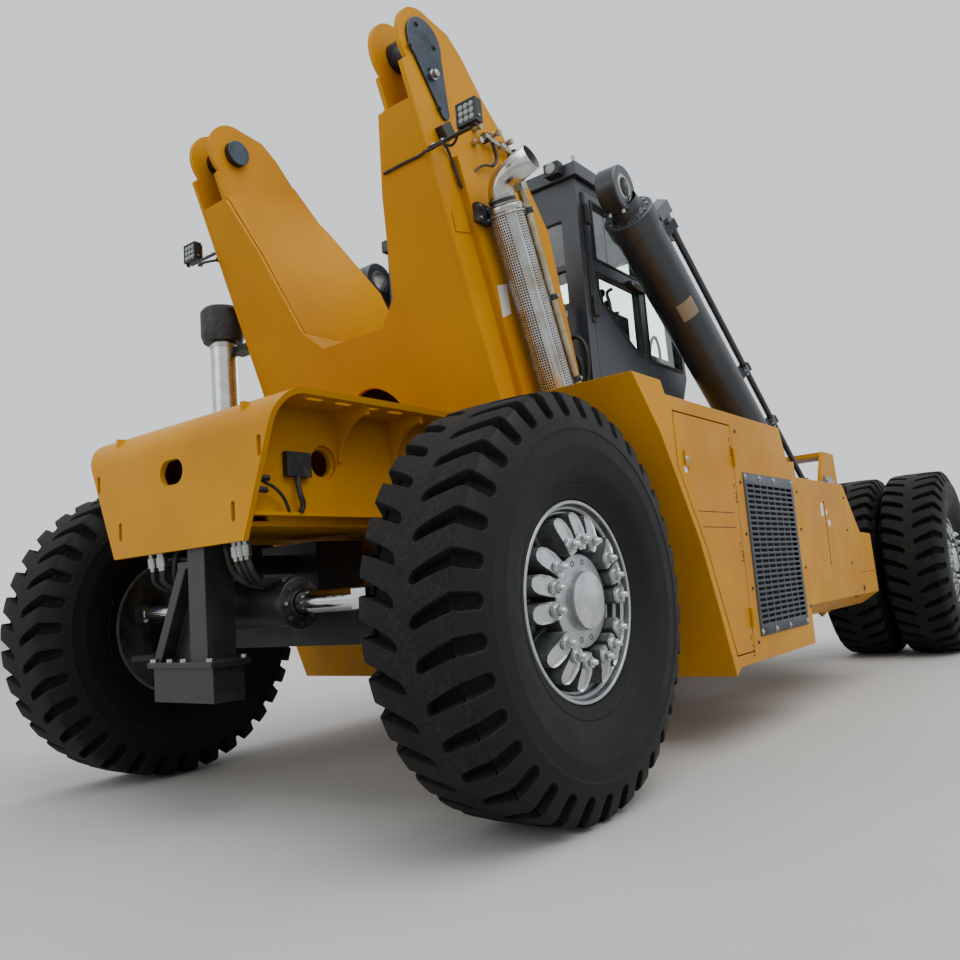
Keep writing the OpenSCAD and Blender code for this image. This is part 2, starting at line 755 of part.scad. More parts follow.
// Engine, gearbox and the shaft to the drive axle.
module engine_block() color("#3a3d40") {
    engine_end = engine_x + engine_l;
    gearbox_end = engine_end + gearbox_l;
    block([xr + engine_x, -engine_w / 2, engine_low], [xr + engine_end, engine_w / 2, engine_low + engine_h]);
    for (x = [engine_x + 150, engine_end - 200])
        block([xr + x, -web_y + web_t, engine_low + 100], [xr + x + 120, web_y - web_t, engine_low + 160]);
    block([xr + engine_end, -gearbox_w / 2, engine_low], [xr + gearbox_end, gearbox_w / 2, engine_low + gearbox_h]);
    translate([xr + gearbox_end, 0, axle_z]) rotate([0, 90, 0]) cylinder(r = 60, h = wheelbase - gearbox_end - 290);
}

// Sides

// Side view of a side body; inset moves its edges inwards.
module side_plan(t = 0) {
    polygon([
        [xr + 471 + 2.2 * t, 1797 - t], [xr + 700 + 1.4 * t, 1550], [xr + 854 + 1.2 * t, 1307],
        [xr + 1015 + 1.2 * t, 1050], [xr + 1163 + 1.1 * t, 707], [xr + 1294 + t, 369 + t],
        [xr + 1360, side_low + t], [xr + 2600 - t, side_low + t], [xr + 2600 - t, 1540 - t],
        [xr + 2470 - t, 1528 - t], [xr + 2380 - t, 1735 - t], [xr + 795, 1735 - t], [xr + 760, 1797 - t],
    ]);
}

module side_body_left() color(paint) {
    y0 = tower_y + 20;
    difference() {
        xz(y0, side_y - y0) side_plan();
        xz(y0 + sheet_t, side_y - y0 - 2 * sheet_t) side_plan(sheet_t);
        // Door opening; its rear edge follows the slope of the arch.
        xz(side_y - 2 * sheet_t, 3 * sheet_t) door_plan(door_gap);
        block([xr + grille_x, side_y - 60, grille_low], [xr + grille_x + grille_w, side_y + 10, grille_low + grille_h]);
    }
}

// Side view of the door; grow widens it to the opening.
module door_plan(grow = 0) {
    polygon([
        [xr + 1330 - grow, door_low - grow], [xr + door_hinge_x + grow, door_low - grow],
        [xr + door_hinge_x + grow, door_top + grow], [xr + 860 - grow, door_top + grow],
        [xr + 860 - grow, 1400], [xr + door_x + 90 - grow, 1000],
    ]);
}

module side_body_right() mirror([0, 1, 0]) side_body_left();

module side_door_left() color(paint) {
    xz(side_y - sheet_t, sheet_t) door_plan();
    for (z = [door_low + 120, door_top - 220])
        translate([xr + door_hinge_x, side_y + hinge_out, z]) cylinder(r = hinge_out + 2, h = 100);
    block([xr + 930, side_y, 1400], [xr + 980, side_y + 10, 1480]);
}

module side_door_right() mirror([0, 1, 0]) side_door_left();

module grilles() color(black) both_sides() {
    y0 = side_y - 24;
    x0 = xr + grille_x + fit;
    x1 = xr + grille_x + grille_w - fit;
    z0 = grille_low + fit;
    z1 = grille_low + grille_h - fit;
    difference() {
        block([x0, y0, z0], [x1, side_y + 4, z1]);
        block([x0 + 45, y0 - 1, z0 + 45], [x1 - 45, side_y + 5, z1 - 45]);
    }
    step = (z1 - z0 - 90) / slat_n;
    for (i = [0 : slat_n - 1])
        block([x0 + 40, y0 + 4, z0 + 45 + i * step], [x1 - 40, side_y - 2, z0 + 45 + i * step + 0.45 * step]);
    for (x = [0.25, 0.5, 0.75])
        block([x0 + x * (x1 - x0) - 4, y0, z0 + 40], [x0 + x * (x1 - x0) + 4, y0 + 8, z1 - 40]);
}

module side_tank() color(paint) difference() {
    xz(tower_y + 60, side_y - tower_y - 60) polygon([
        [xr + tank_rear, tank_low], [xr + tank_front, tank_low], [xr + tank_front - 50, tank_step],
        [xr + tank_front - 350, tank_step + 10], [xr + tank_front - 685, tank_top], [xr + tank_rear, tank_top],
    ]);
    // Sloping lower edge along the outside.
    yz(xr + 2500, 2000) polygon([[side_y + 1, 500], [side_y + 1, 640], [side_y - 220, 500]]);
}

module side_tank_left() color(paint) difference() {
    side_tank();
    // Recessed steps up to the deck.
    for (i = [0:2])
        block([xr + 2900, side_y - 160 - 90 * i, 700 + 260 * i], [xr + 3350, side_y + 10, 900 + 260 * i]);
}

module side_tank_right() mirror([0, 1, 0]) side_tank();

// Cab

module cab_plan() {
    polygon([
        [xr + cab_x + cab_t, floor_z], [xr + cab_front - 260, floor_z],
        [xr + cab_front, 2300], [xr + cab_front - 60, cab_top], [xr + cab_x + cab_t, cab_top],
    ]);
}

module cab_floor() color(dark)
    block([xr + cab_x, -cab_y, cab_low], [xr + cab_front - 255, cab_y, floor_z]);

// Lower and upper edge of each window in the rear wall.
rear_windows = [[2850, 3130], [2600, 2810]];

module cab_rear_wall() color(dark) difference() {
    block([xr + cab_x, -cab_y, floor_z], [xr + cab_x + cab_t, cab_y, cab_top]);
    for (w = rear_windows)
        block([xr + cab_x - 10, -cab_y + 120, w[0]], [xr + cab_x + 100, cab_y - 120, w[1]]);
}

// Windows in a cab side: two in the door and one ahead of it.
module cab_side_windows() {
    polygon([[xr + 1755, 2900], [xr + 2290, 2900], [xr + 2290, 3270], [xr + 1755, 3270]]);
    polygon([
        [xr + 1755, 2800], [xr + 1755, 2700], [xr + 1790, 2625], [xr + 2050, 2460], [xr + 2240, 2360],
        [xr + 2290, 2360], [xr + 2290, 2800],
    ]);
    polygon([[xr + 2400, 2350], [xr + 2900, 2350], [xr + 2865, 3270], [xr + 2400, 3270]]);
}

module cab_sides() color(dark) both_sides() xz(cab_y - cab_t, cab_t) difference() {
    cab_plan();
    cab_side_windows();
}

module cab_front() color(dark) intersection() {
    xz(-cab_y + cab_t, 2 * (cab_y - cab_t)) difference() {
        cab_plan();
        translate([-cab_t, 0]) cab_plan();
    }
    difference() {
        block([xr + 2000, -cab_y, floor_z], [xr + cab_front, cab_y, cab_top]);
        block([xr + 1900, -cab_y + 110, 1900], [xr + cab_front + 50, cab_y - 110, cab_top - 110]);
    }
}

module cab_roof() color(dark) {
    // Roof with a sloping edge all round its front and a raised cover.
    xz(-cab_y - 30, 2 * cab_y + 60) polygon([
        [xr + cab_x - 30, cab_top], [xr + cab_front + 60, cab_top], [xr + cab_front + 120, cab_top + 30],
        [xr + cab_front + 60, cab_top + roof_t - 20], [xr + cab_x - 30, cab_top + roof_t - 20],
    ]);
    block([xr + cab_x + 80, -cab_y + 120, cab_top + roof_t - 20], [xr + cab_front - 250, cab_y - 120, cab_top + roof_t]);
}

module cab_glass() color([0.6, 0.7, 0.75, 0.4]) {
    for (w = rear_windows)
        block([xr + cab_x + 20, -cab_y + 120, w[0]], [xr + cab_x + 20 + glass_t, cab_y - 120, w[1]]);
    both_sides() xz(cab_y - 30, glass_t) cab_side_windows();
    intersection() {
        xz(-cab_y + 110, 2 * (cab_y - 110)) difference() {
            translate([-20, 0]) cab_plan();
            translate([-20 - glass_t, 0]) cab_plan();
        }
        block([xr + 2000, -cab_y, 1900], [xr + cab_front, cab_y, cab_top - 110]);
    }
}

module cab_seat() color(black) {
    z0 = floor_z;
    block([xr + 1900, -180, z0], [xr + 2300, 180, z0 + 350]);
    block([xr + 1880, -260, z0 + 350], [xr + 2400, 260, z0 + 480]);
    block([xr + 1780, -240, z0 + 480], [xr + 1900, 240, z0 + 1150]);
    block([xr + 2500, -60, z0], [xr + 2580, 60, z0 + 650]);
    translate([xr + 2500, 0, z0 + 650]) rotate([0, -30, 0]) cylinder(r = 200, h = 30);
}

// Cooler housing on the cab's rear wall, with a filler cap and a hose stub.
module rear_gear() color(black) {
    block([xr + 1400, -cab_y + 50, 2150], [xr + cab_x, -370, 2540]);
    translate([xr + 1490, -560, 2540]) cylinder(r = 50, h = 50);
    translate([xr + 1470, -680, 2540]) cylinder(r = 20, h = 40);
}

// Lift cylinders; drawn upright along their axis, then leaned back.
module leaned(side) translate([xr + lift_x, side * lift_y, lift_z]) rotate([0, -lift_tilt, 0]) children();

barrel_top = lift_len - eye_r - 30;

module lift_barrel(side) color(dark) leaned(side) difference() {
    union() {
        translate([0, 0, 90]) cylinder(r = barrel_r, h = barrel_top - 90);
        rotate([90, 0, 0]) translate([0, 0, -lift_y + beam_y + beam_t + run_gap])
            cylinder(r = 120, h = 2 * (lift_y - beam_y - beam_t - run_gap));
        translate([0, 0, barrel_top - 120]) cylinder(r = barrel_r + 12, h = 120);
        translate([0, 0, 90]) cylinder(r = barrel_r + 4, h = 160);
        translate([barrel_r + 32, 34, 300]) cylinder(r = 20, h = barrel_top - 430);
        translate([barrel_r + 60, -26, 300]) cylinder(r = 26, h = barrel_top - 430);
        for (z = [290, 1050, barrel_top - 230]) translate([60, -62, z]) cube([190, 124, 70]);
    }
    rotate([90, 0, 0]) translate([0, 0, -300]) cylinder(r = foot_pin_r + 0.05, h = 600);
    translate([0, 0, 300]) cylinder(r = rod_r + 0.05, h = 4000);
}

module lift_rod(side) color(silver) leaned(side) difference() {
    union() {
        translate([0, 0, 320]) cylinder(r = rod_r, h = lift_len - eye_bore_r - 10 - 320);
        translate([0, eye_w / 2, lift_len]) rotate([90, 0, 0]) cylinder(r = eye_r, h = eye_w);
    }
    translate([0, 300, lift_len]) rotate([90, 0, 0]) cylinder(r = eye_bore_r, h = 600);
}

// Outfit

module exhaust() color(silver) mirror([0, 1, 0]) {
    translate([xr + shield_x, shield_y, 1735]) cylinder(r = pipe_r, h = 120);
    translate([xr + shield_x, shield_y, shield_z]) rotate([0, -shield_lean, 0]) {
        cylinder(r = shield_r, h = shield_l);
        translate([0, 0, shield_l]) cylinder(r = pipe_r + 4, h = 44);
        // Bend that turns the mouth forwards and outwards.
        translate([0, 0, shield_l + 40]) rotate([0, 0, mouth_turn]) {
            translate([elbow_r, 0, 0]) rotate([90, 0, 0]) elbow(pipe_r, elbow_r, elbow_bend);
            translate([elbow_r, 0, 0]) rotate([0, elbow_bend, 0]) translate([-elbow_r, 0, -4])
                cylinder(r = pipe_r + 3, h = 149);
        }
        // Slim pipe in front of the shield, and its clamps.
        translate([125, 50, 60]) cylinder(r = 26, h = shield_l + 60);
        for (z = [90, shield_l - 60]) translate([40, 20, z]) cube([90, 50, 40]);
    }
    // Bracket that carries the shield from the tower.
    at = shield_l - 42;
    brace_x = xr + shield_x - at * sin(shield_lean);
    brace_z = shield_z + at * cos(shield_lean);
    block([brace_x - 150, tower_y + channel_out, brace_z - 50], [brace_x - 50, shield_y - 65, brace_z + 50]);
}

// Part of a ring in the XY plane: from -X, turning by bend_angle towards +Y.
module elbow(r, bend, bend_angle) intersection() {
    rotate_extrude() translate([bend, 0]) circle(r);
    reach = 2 * (bend + r);
    translate([0, 0, -r]) linear_extrude(2 * r) polygon([
        [0, 0], [-reach, 0], [-reach, reach], [-reach * cos(bend_angle), reach * sin(bend_angle)],
    ]);
}

module air_cleaner() color(black) {
    x0 = xr + 270;
    y0 = 1020;
    low = 1900;
    translate([x0, y0, cleaner_z - 40]) cylinder(r1 = cleaner_r - 14, r2 = cleaner_r, h = 40);
    translate([x0, y0, cleaner_z]) cylinder(r = cleaner_r, h = 150);
    translate([x0, y0, cleaner_z + 150]) cylinder(r1 = cleaner_r, r2 = cleaner_r - 20, h = 25);
    translate([x0, y0, low]) cylinder(r = intake_r, h = cleaner_z - 38 - low);
    translate([x0, y0, low]) sphere(r = intake_r);
    translate([x0, y0, low]) rotate([0, 90, 0]) cylinder(r = intake_r, h = 330);
    translate([x0 + 330, y0, low]) sphere(r = intake_r);
    translate([x0 + 330, y0, 1797]) cylinder(r = intake_r, h = low - 1797);
    block([x0 + 30, tower_y, cleaner_z - 110], [x0 + 130, y0 - 20, cleaner_z - 70]);
}

module work_lamps() color(black) both_sides() {
    translate([xr + 97, 1087 - lamp_w / 2, 3070 - lamp_w / 2]) cube([50, lamp_w, lamp_w]);
    for (i = [-2:2]) translate([xr + 147, 1085 + i * 22, 3070 - lamp_w / 2 + 10]) cube([14, 5, lamp_w - 20]);
    block([xr + 100, tower_y, 2990], [xr + 130, 1090, 3070 - lamp_w / 2]);
}

chassis_frame();
deck_plate();
front_beam();
tail_frame();
tail_post();
tower_left();
tower_right();
tower_back();
boom_pins();
steer_axle();
steer_rod();
knuckle_left();
knuckle_right();
rear_tyre(1);  // rear_tyre_left
rear_tyre(-1);  // rear_tyre_right
rear_rim(1);  // rear_rim_left
rear_rim(-1);  // rear_rim_right
drive_axle();
front_tyres(1);  // front_tyres_left
front_tyres(-1);  // front_tyres_right
front_rims(1);  // front_rims_left
front_rims(-1);  // front_rims_right
engine_block();
side_body_left();
side_body_right();
side_door_left();
side_door_right();
grilles();
side_tank_left();
side_tank_right();
cab_floor();
cab_rear_wall();
cab_sides();
cab_front();
cab_roof();
cab_glass();
cab_seat();
rear_gear();
lift_barrel(1);  // lift_barrel_left
lift_barrel(-1);  // lift_barrel_right
lift_rod(1);  // lift_rod_left
lift_rod(-1);  // lift_rod_right
exhaust();
air_cleaner();
work_lamps();
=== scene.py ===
import math

import bmesh
import bpy
from mathutils import Matrix, Vector


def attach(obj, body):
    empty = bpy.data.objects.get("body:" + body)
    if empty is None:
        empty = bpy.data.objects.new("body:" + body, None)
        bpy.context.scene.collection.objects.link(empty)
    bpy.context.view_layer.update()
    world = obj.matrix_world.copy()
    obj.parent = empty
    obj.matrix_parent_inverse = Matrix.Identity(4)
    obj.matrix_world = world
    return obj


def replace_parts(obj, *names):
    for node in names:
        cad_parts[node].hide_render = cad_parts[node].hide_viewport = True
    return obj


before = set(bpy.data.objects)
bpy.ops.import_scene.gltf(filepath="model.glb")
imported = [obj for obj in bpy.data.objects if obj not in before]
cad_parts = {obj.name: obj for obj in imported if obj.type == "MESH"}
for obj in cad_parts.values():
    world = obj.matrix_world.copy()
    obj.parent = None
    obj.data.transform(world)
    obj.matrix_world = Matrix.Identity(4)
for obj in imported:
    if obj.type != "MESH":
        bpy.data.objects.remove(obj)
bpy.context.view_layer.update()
print("frame loaded")


# Small tools that every piece uses

def linear(hexColour):  # sRGB hex to the linear values Blender mixes in
    parts = [int(hexColour[i:i + 2], 16) / 255 for i in (1, 3, 5)]
    return tuple(c / 12.92 if c <= 0.04045 else ((c + 0.055) / 1.055) ** 2.4 for c in parts) + (1.0,)


def addNode(tree, kind, settings=None, links=None):
    node = tree.nodes.new(kind)
    for key, value in (settings or {}).items():
        setattr(node, key, value)
    for key, value in (links or {}).items():
        socket = node.inputs[key]
        if isinstance(value, bpy.types.NodeSocket):
            tree.links.new(value, socket)
        else:
            socket.default_value = value
    return node


def newMaterial(name, colour, roughness, metallic=0.0):
    material = bpy.data.materials.new(name)
    material.use_nodes = True
    tree = material.node_tree
    shader = tree.nodes["Principled BSDF"]
    shader.inputs["Base Color"].default_value = linear(colour)
    shader.inputs["Roughness"].default_value = roughness
    shader.inputs["Metallic"].default_value = metallic
    place = addNode(tree, "ShaderNodeTexCoord").outputs["Object"]
    return material, tree, shader, place


def noiseOf(tree, place, size, detail=3.0, rough=0.55, stretch=(1, 1, 1)):  # size is one blotch, in metres
    turned = addNode(tree, "ShaderNodeMapping", links={"Vector": place, "Scale": stretch}).outputs[0]
    return addNode(tree, "ShaderNodeTexNoise", links={"Vector": turned, "Scale": 1 / size, "Detail": detail,
                                                      "Roughness": rough}).outputs["Fac"]


def remap(tree, value, low, high, toLow=0.0, toHigh=1.0):
    return addNode(tree, "ShaderNodeMapRange", links={"Value": value, "From Min": low, "From Max": high,
                                                      "To Min": toLow, "To Max": toHigh}).outputs["Result"]


def mixed(tree, factor, first, second):
    node = addNode(tree, "ShaderNodeMix", {"data_type": "RGBA"})
    for key, value in ((0, factor), (6, first), (7, second)):
        if isinstance(value, bpy.types.NodeSocket):
            tree.links.new(value, node.inputs[key])
        else:
            node.inputs[key].default_value = value
    return node.outputs[2]


def bumpOf(tree, height, strength, distance):
    return addNode(tree, "ShaderNodeBump", links={"Height": height, "Strength": strength,
                                                  "Distance": distance}).outputs["Normal"]


def product(tree, first, second):
    return addNode(tree, "ShaderNodeMath", {"operation": "MULTIPLY"}, {0: first, 1: second}).outputs[0]


def wire(tree, shader, colour, roughness, relief):
    for key, value in (("Base Color", colour), ("Roughness", roughness), ("Normal", relief)):
        tree.links.new(value, shader.inputs[key])


def sideName(side):
    return "Left" if side > 0 else "Right"


def vertsOf(geom):
    return [g for g in geom if isinstance(g, bmesh.types.BMVert)]


def facesOf(geom):
    return [g for g in geom if isinstance(g, bmesh.types.BMFace)]


def cornersOf(faces):  # each vertex once, in the same order every run, which a set would not keep
    return list(dict.fromkeys(v for f in faces for v in f.verts))


def wholeOf(bm):
    return bm.verts[:] + bm.edges[:] + bm.faces[:]


def thicken(piece, thickness, offset=-1, innerSlot=0):  # sheet metal drawn as a skin
    wall = piece.modifiers.new("sheet", "SOLIDIFY")
    wall.thickness = thickness
    wall.offset = offset
    wall.material_offset = innerSlot


def newPiece(name, body, bm, materials, sharp=35, bevel=0.0, normals=False):
    if normals:
        bmesh.ops.remove_doubles(bm, verts=bm.verts, dist=0.00002)
        bmesh.ops.recalc_face_normals(bm, faces=bm.faces)
    for edge in bm.edges:
        edge.smooth = len(edge.link_faces) != 2 or edge.calc_face_angle(0) < math.radians(sharp)
    for face in bm.faces:
        face.smooth = True
    mesh = bpy.data.meshes.new(name)
    bm.to_mesh(mesh)
    bm.free()
    piece = bpy.data.objects.new(name, mesh)
    bpy.context.collection.objects.link(piece)
    for material in (materials if isinstance(materials, (list, tuple)) else [materials]):
        mesh.materials.append(material)
    if bevel:
        rounding = piece.modifiers.new("edges", "BEVEL")
        rounding.width = bevel
        rounding.segments = 2
        rounding.limit_method = "ANGLE"
        rounding.angle_limit = math.radians(sharp)
        rounding.use_clamp_overlap = True
        rounding.harden_normals = True
    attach(piece, body)
    return piece


def addBox(bm, low, high, material=0, turn=None):
    low, high = Vector(low), Vector(high)
    size = high - low
    middle = (high + low) / 2
    made = bmesh.ops.create_cube(bm, size=1)["verts"]
    matrix = Matrix.Translation(middle) @ (turn or Matrix.Identity(4)) @ Matrix.Diagonal((*size, 1))
    bmesh.ops.transform(bm, matrix=matrix, verts=made)
    setMaterial(made, material)
    return made


def setMaterial(verts, material):
    for vert in verts:
        for face in vert.link_faces:
            face.material_index = material


def alongAxis(start, end):  # a matrix that stands a shape made along Z between two points
    start, end = Vector(start), Vector(end)
    turn = (end - start).to_track_quat("Z", "Y").to_matrix().to_4x4()
    return Matrix.Translation((start + end) / 2) @ turn, (end - start).length


def addRod(bm, start, end, radius, sides=24, material=0, endRadius=None):
    matrix, length = alongAxis(start, end)
    made = bmesh.ops.create_cone(bm, cap_ends=True, segments=sides, radius1=radius,
                                 radius2=radius if endRadius is None else endRadius, depth=length)["verts"]
    bmesh.ops.transform(bm, matrix=matrix, verts=made)
    setMaterial(made, material)


def addLathe(bm, centre, axis, profile, steps=64, material=0):  # profile holds (along the axis, radius)
    axis = Vector(axis).normalized()
    side = axis.orthogonal().normalized()
    before = set(bm.faces)
    rings = []
    for step in range(steps):  # laid ring by ring, because spin gives its faces another order on each run
        out = Matrix.Rotation(math.tau * step / steps, 3, axis) @ side
        rings.append([bm.verts.new(Vector(centre) + axis * along + out * radius) for along, radius in profile])
    made = [bm.faces.new((near[i], near[i + 1], far[i + 1], far[i]))
            for near, far in zip(rings, rings[1:] + rings[:1]) for i in range(len(profile) - 1)]
    for face in made:
        face.material_index = material
    bmesh.ops.remove_doubles(bm, verts=cornersOf(made), dist=0.00002)
    return [f for f in bm.faces if f not in before]


def addPlate(bm, outline, low, high, axis="y", material=0):  # outline lies square to the axis
    if axis == "y":
        ring = [bm.verts.new((a, low, b)) for a, b in outline]
        push = (0, high - low, 0)
    elif axis == "x":
        ring = [bm.verts.new((low, a, b)) for a, b in outline]
        push = (high - low, 0, 0)
    else:
        ring = [bm.verts.new((a, b, low)) for a, b in outline]
        push = (0, 0, high - low)
    face = bm.faces.new(ring)
    made = bmesh.ops.extrude_face_region(bm, geom=[face], use_keep_orig=True)["geom"]
    top = vertsOf(made)
    bmesh.ops.translate(bm, verts=top, vec=push)
    faces = list(dict.fromkeys(f for v in ring + top for f in v.link_faces))
    bmesh.ops.recalc_face_normals(bm, faces=faces)
    for side in faces:
        side.material_index = material


def addTube(bm, points, radius, material=0, sides=4, smooth=True):  # a hose, cable or bent pipe
    path = bpy.data.curves.new("path", "CURVE")
    path.dimensions = "3D"
    path.bevel_depth = radius
    path.bevel_resolution = sides - 2
    path.use_fill_caps = True
    path.resolution_u = 6
    spline = path.splines.new("BEZIER" if smooth else "POLY")
    spots = spline.bezier_points if smooth else spline.points
    spots.add(len(points) - 1)
    for spot, point in zip(spots, points):
        if smooth:
            spot.co = point
            spot.handle_left_type = spot.handle_right_type = "AUTO"
        else:
            spot.co = (*point, 1)
    holder = bpy.data.objects.new("path", path)
    bpy.context.collection.objects.link(holder)
    mesh = bpy.data.meshes.new_from_object(holder.evaluated_get(bpy.context.evaluated_depsgraph_get()))
    before = set(bm.faces)
    bm.from_mesh(mesh)
    for face in bm.faces:
        if face not in before:
            face.material_index = material
    bpy.data.objects.remove(holder)
    bpy.data.meshes.remove(mesh)
    bpy.data.curves.remove(path)


# Materials

def yellowEnamel():  # two-pack enamel sprayed on steel: glossy, faint orange peel, chalky dust on it
    material, tree, shader, place = newMaterial("yellowEnamel", "#c07a00", 0.4)
    fade = noiseOf(tree, place, 0.9, 4)
    base = mixed(tree, remap(tree, fade, 0.35, 0.7), linear("#c18500"), linear("#ae7400"))
    height = addNode(tree, "ShaderNodeSeparateXYZ", links={"Vector": place}).outputs["Z"]
    low = remap(tree, height, 1.3, 0.35, 0.0, 0.34)  # splashed dirt fades out above 1.3 m
    dust = noiseOf(tree, place, 0.22, 6, 0.65)
    film = product(tree, remap(tree, dust, 0.42, 0.72), low)
    streak = noiseOf(tree, place, 0.08, 4, 0.6, (6, 6, 0.6))
    film = addNode(tree, "ShaderNodeMath", {"operation": "MULTIPLY_ADD"},
                   {0: remap(tree, streak, 0.55, 0.8), 1: 0.10, 2: film}).outputs[0]
    peel = noiseOf(tree, place, 0.012, 2)  # orange peel is 3 mm apart, drawn at 12 mm to show
    wire(tree, shader, mixed(tree, film, base, linear("#8a7450")), remap(tree, dust, 0.3, 0.75, 0.34, 0.55),
         bumpOf(tree, peel, 0.12, 0.0012))
    shader.inputs["Specular IOR Level"].default_value = 0.12
    shader.inputs["Coat Weight"].default_value = 0.03
    shader.inputs["Coat Roughness"].default_value = 0.12
    return material


def greyEnamel(name, colour, darker, roughness):  # satin enamel on the cab and the lift cylinders
    material, tree, shader, place = newMaterial(name, colour, roughness)
    fade = noiseOf(tree, place, 0.5, 4)
    base = mixed(tree, remap(tree, fade, 0.35, 0.7), linear(colour), linear(darker))
    dust = noiseOf(tree, place, 0.09, 6, 0.65)
    film = remap(tree, dust, 0.5, 0.85, 0.0, 0.07)
    wire(tree, shader, mixed(tree, film, base, linear("#8d857a")),
         remap(tree, dust, 0.3, 0.75, roughness - 0.05, roughness + 0.16),
         bumpOf(tree, noiseOf(tree, place, 0.012, 2), 0.10, 0.0012))
    shader.inputs["Coat Weight"].default_value = 0.12
    shader.inputs["Coat Roughness"].default_value = 0.3
    return material


def tyreRubber(name, colour, dusty, amount, roughness):  # moulded black rubber: matt, holds road dust
    material, tree, shader, place = newMaterial(name, colour, roughness)
    shader.inputs["Specular IOR Level"].default_value = 0.25
    patch = noiseOf(tree, place, 0.16, 7, 0.7)
    grain = noiseOf(tree, place, 0.014, 5, 0.7)
    film = product(tree, product(tree, remap(tree, patch, 0.32, 0.62), remap(tree, grain, 0.30, 0.70)), amount)
    wire(tree, shader, mixed(tree, film, linear(colour), linear(dusty)),
         remap(tree, patch, 0.3, 0.7, roughness - 0.08, roughness + 0.12), bumpOf(tree, grain, 0.25, 0.002))
    return material


def silverEnamel(name, colour, roughness, metallic):  # sprayed aluminium flake paint on cast and rolled steel
    material, tree, shader, place = newMaterial(name, colour, roughness, metallic)
    cloud = noiseOf(tree, place, 0.07, 5, 0.6)
    wire(tree, shader, mixed(tree, remap(tree, cloud, 0.40, 0.75, 0.0, 0.6), linear(colour), linear("#8b8a85")),
         remap(tree, cloud, 0.3, 0.7, roughness - 0.05, roughness + 0.12),
         bumpOf(tree, noiseOf(tree, place, 0.008, 3), 0.10, 0.0008))
    return material


def polishedSteel(name, colour, tint, roughness):  # rolled or drawn metal, with a heat tint or a film on it
    material, tree, shader, place = newMaterial(name, colour, roughness, 1.0)
    cloud = noiseOf(tree, place, 0.11, 4, 0.6)
    brushed = noiseOf(tree, place, 0.02, 3, 0.5, (1, 1, 8))
    wire(tree, shader, mixed(tree, remap(tree, cloud, 0.42, 0.72), linear(colour), linear(tint)),
         remap(tree, brushed, 0.3, 0.7, roughness - 0.05, roughness + 0.08), bumpOf(tree, brushed, 0.05, 0.0006))
    return material


def mouldedPlastic(name, colour, roughness, grain=0.004):  # fine spark-eroded grain, grey where dust sits
    material, tree, shader, place = newMaterial(name, colour, roughness)
    dust = noiseOf(tree, place, 0.05, 5, 0.6)
    wire(tree, shader, mixed(tree, remap(tree, dust, 0.5, 0.8, 0.0, 0.25), linear(colour), linear("#7d776e")),
         remap(tree, dust, 0.3, 0.7, roughness - 0.05, roughness + 0.1),
         bumpOf(tree, noiseOf(tree, place, grain, 2), 0.15, 0.0006))
    return material


def toughenedGlass():  # 6 mm float glass with a faint green body tint and a film of dust
    material, tree, shader, place = newMaterial("toughenedGlass", "#dfe9e7", 0.03)
    shader.inputs["Transmission Weight"].default_value = 1.0
    shader.inputs["IOR"].default_value = 1.46
    film = noiseOf(tree, place, 0.3, 5, 0.6)
    tree.links.new(remap(tree, film, 0.35, 0.8, 0.01, 0.12), shader.inputs["Roughness"])
    return material


def wovenSeatCloth():  # 3 mm polyester weave, dark grey, with a soft sheen
    material, tree, shader, place = newMaterial("wovenSeatCloth", "#24262a", 0.92)
    warp, weft = (addNode(tree, "ShaderNodeTexWave", {"bands_direction": direction},
                          {"Vector": place, "Scale": 90.0, "Distortion": 0.6}).outputs["Fac"] for direction in "XY")
    weave = product(tree, warp, weft)
    tree.links.new(mixed(tree, weave, linear("#1b1c1f"), linear("#3a3d42")), shader.inputs["Base Color"])
    tree.links.new(bumpOf(tree, weave, 0.4, 0.0008), shader.inputs["Normal"])
    shader.inputs["Sheen Weight"].default_value = 0.3
    return material


yellow = yellowEnamel()
cabGrey = greyEnamel("cabGreyEnamel", "#2d333a", "#22272d", 0.36)
cylinderGrey = greyEnamel("cylinderGreyEnamel", "#2a3036", "#1f2429", 0.34)
axleBlack = greyEnamel("axleBlackEnamel", "#1d1f22", "#131416", 0.45)
treadRubber = tyreRubber("treadRubber", "#0d0d0e", "#36322c", 0.75, 0.85)
# darker rubber and darker dust for the groove floors and walls: painted shade in the grooves, on top of real dust
grooveRubberShadeAndDust = tyreRubber("grooveRubberShadeAndDust", "#090909", "#28241f", 0.5, 0.9)
wallRubber = tyreRubber("wallRubber", "#0a0b0c", "#24211e", 0.35, 0.6)
rimCast = silverEnamel("silverRimEnamel", "#aeb3b5", 0.34, 0.55)
rimBright = silverEnamel("polishedCastClamps", "#c3c7c8", 0.24, 0.75)
# darker silver for the rim's step walls, clamp sides, spoke gaps, holes and back: painted shade, with some dirt
rimShadeAndDirt = silverEnamel("silverInShadow", "#4c5052", 0.5, 0.4)
chromeRod = polishedSteel("hardChrome", "#d8d9da", "#c4c5c6", 0.07)
stainless = polishedSteel("heatTintedStainless", "#c2c4c5", "#aaa090", 0.22)
zincSteel = polishedSteel("zincPlatedSteel", "#b3b5b4", "#8f9088", 0.33)
brassPipe = polishedSteel("yellowPassivatedPipe", "#b9ad92", "#8f7d58", 0.3)
pinSteel = polishedSteel("machinedPinSteel", "#4a525b", "#3a4148", 0.4)
blackPlastic = mouldedPlastic("blackPolypropylene", "#151618", 0.5)
grilleGrey = greyEnamel("grilleSheetEnamel", "#343b42", "#282e34", 0.5)
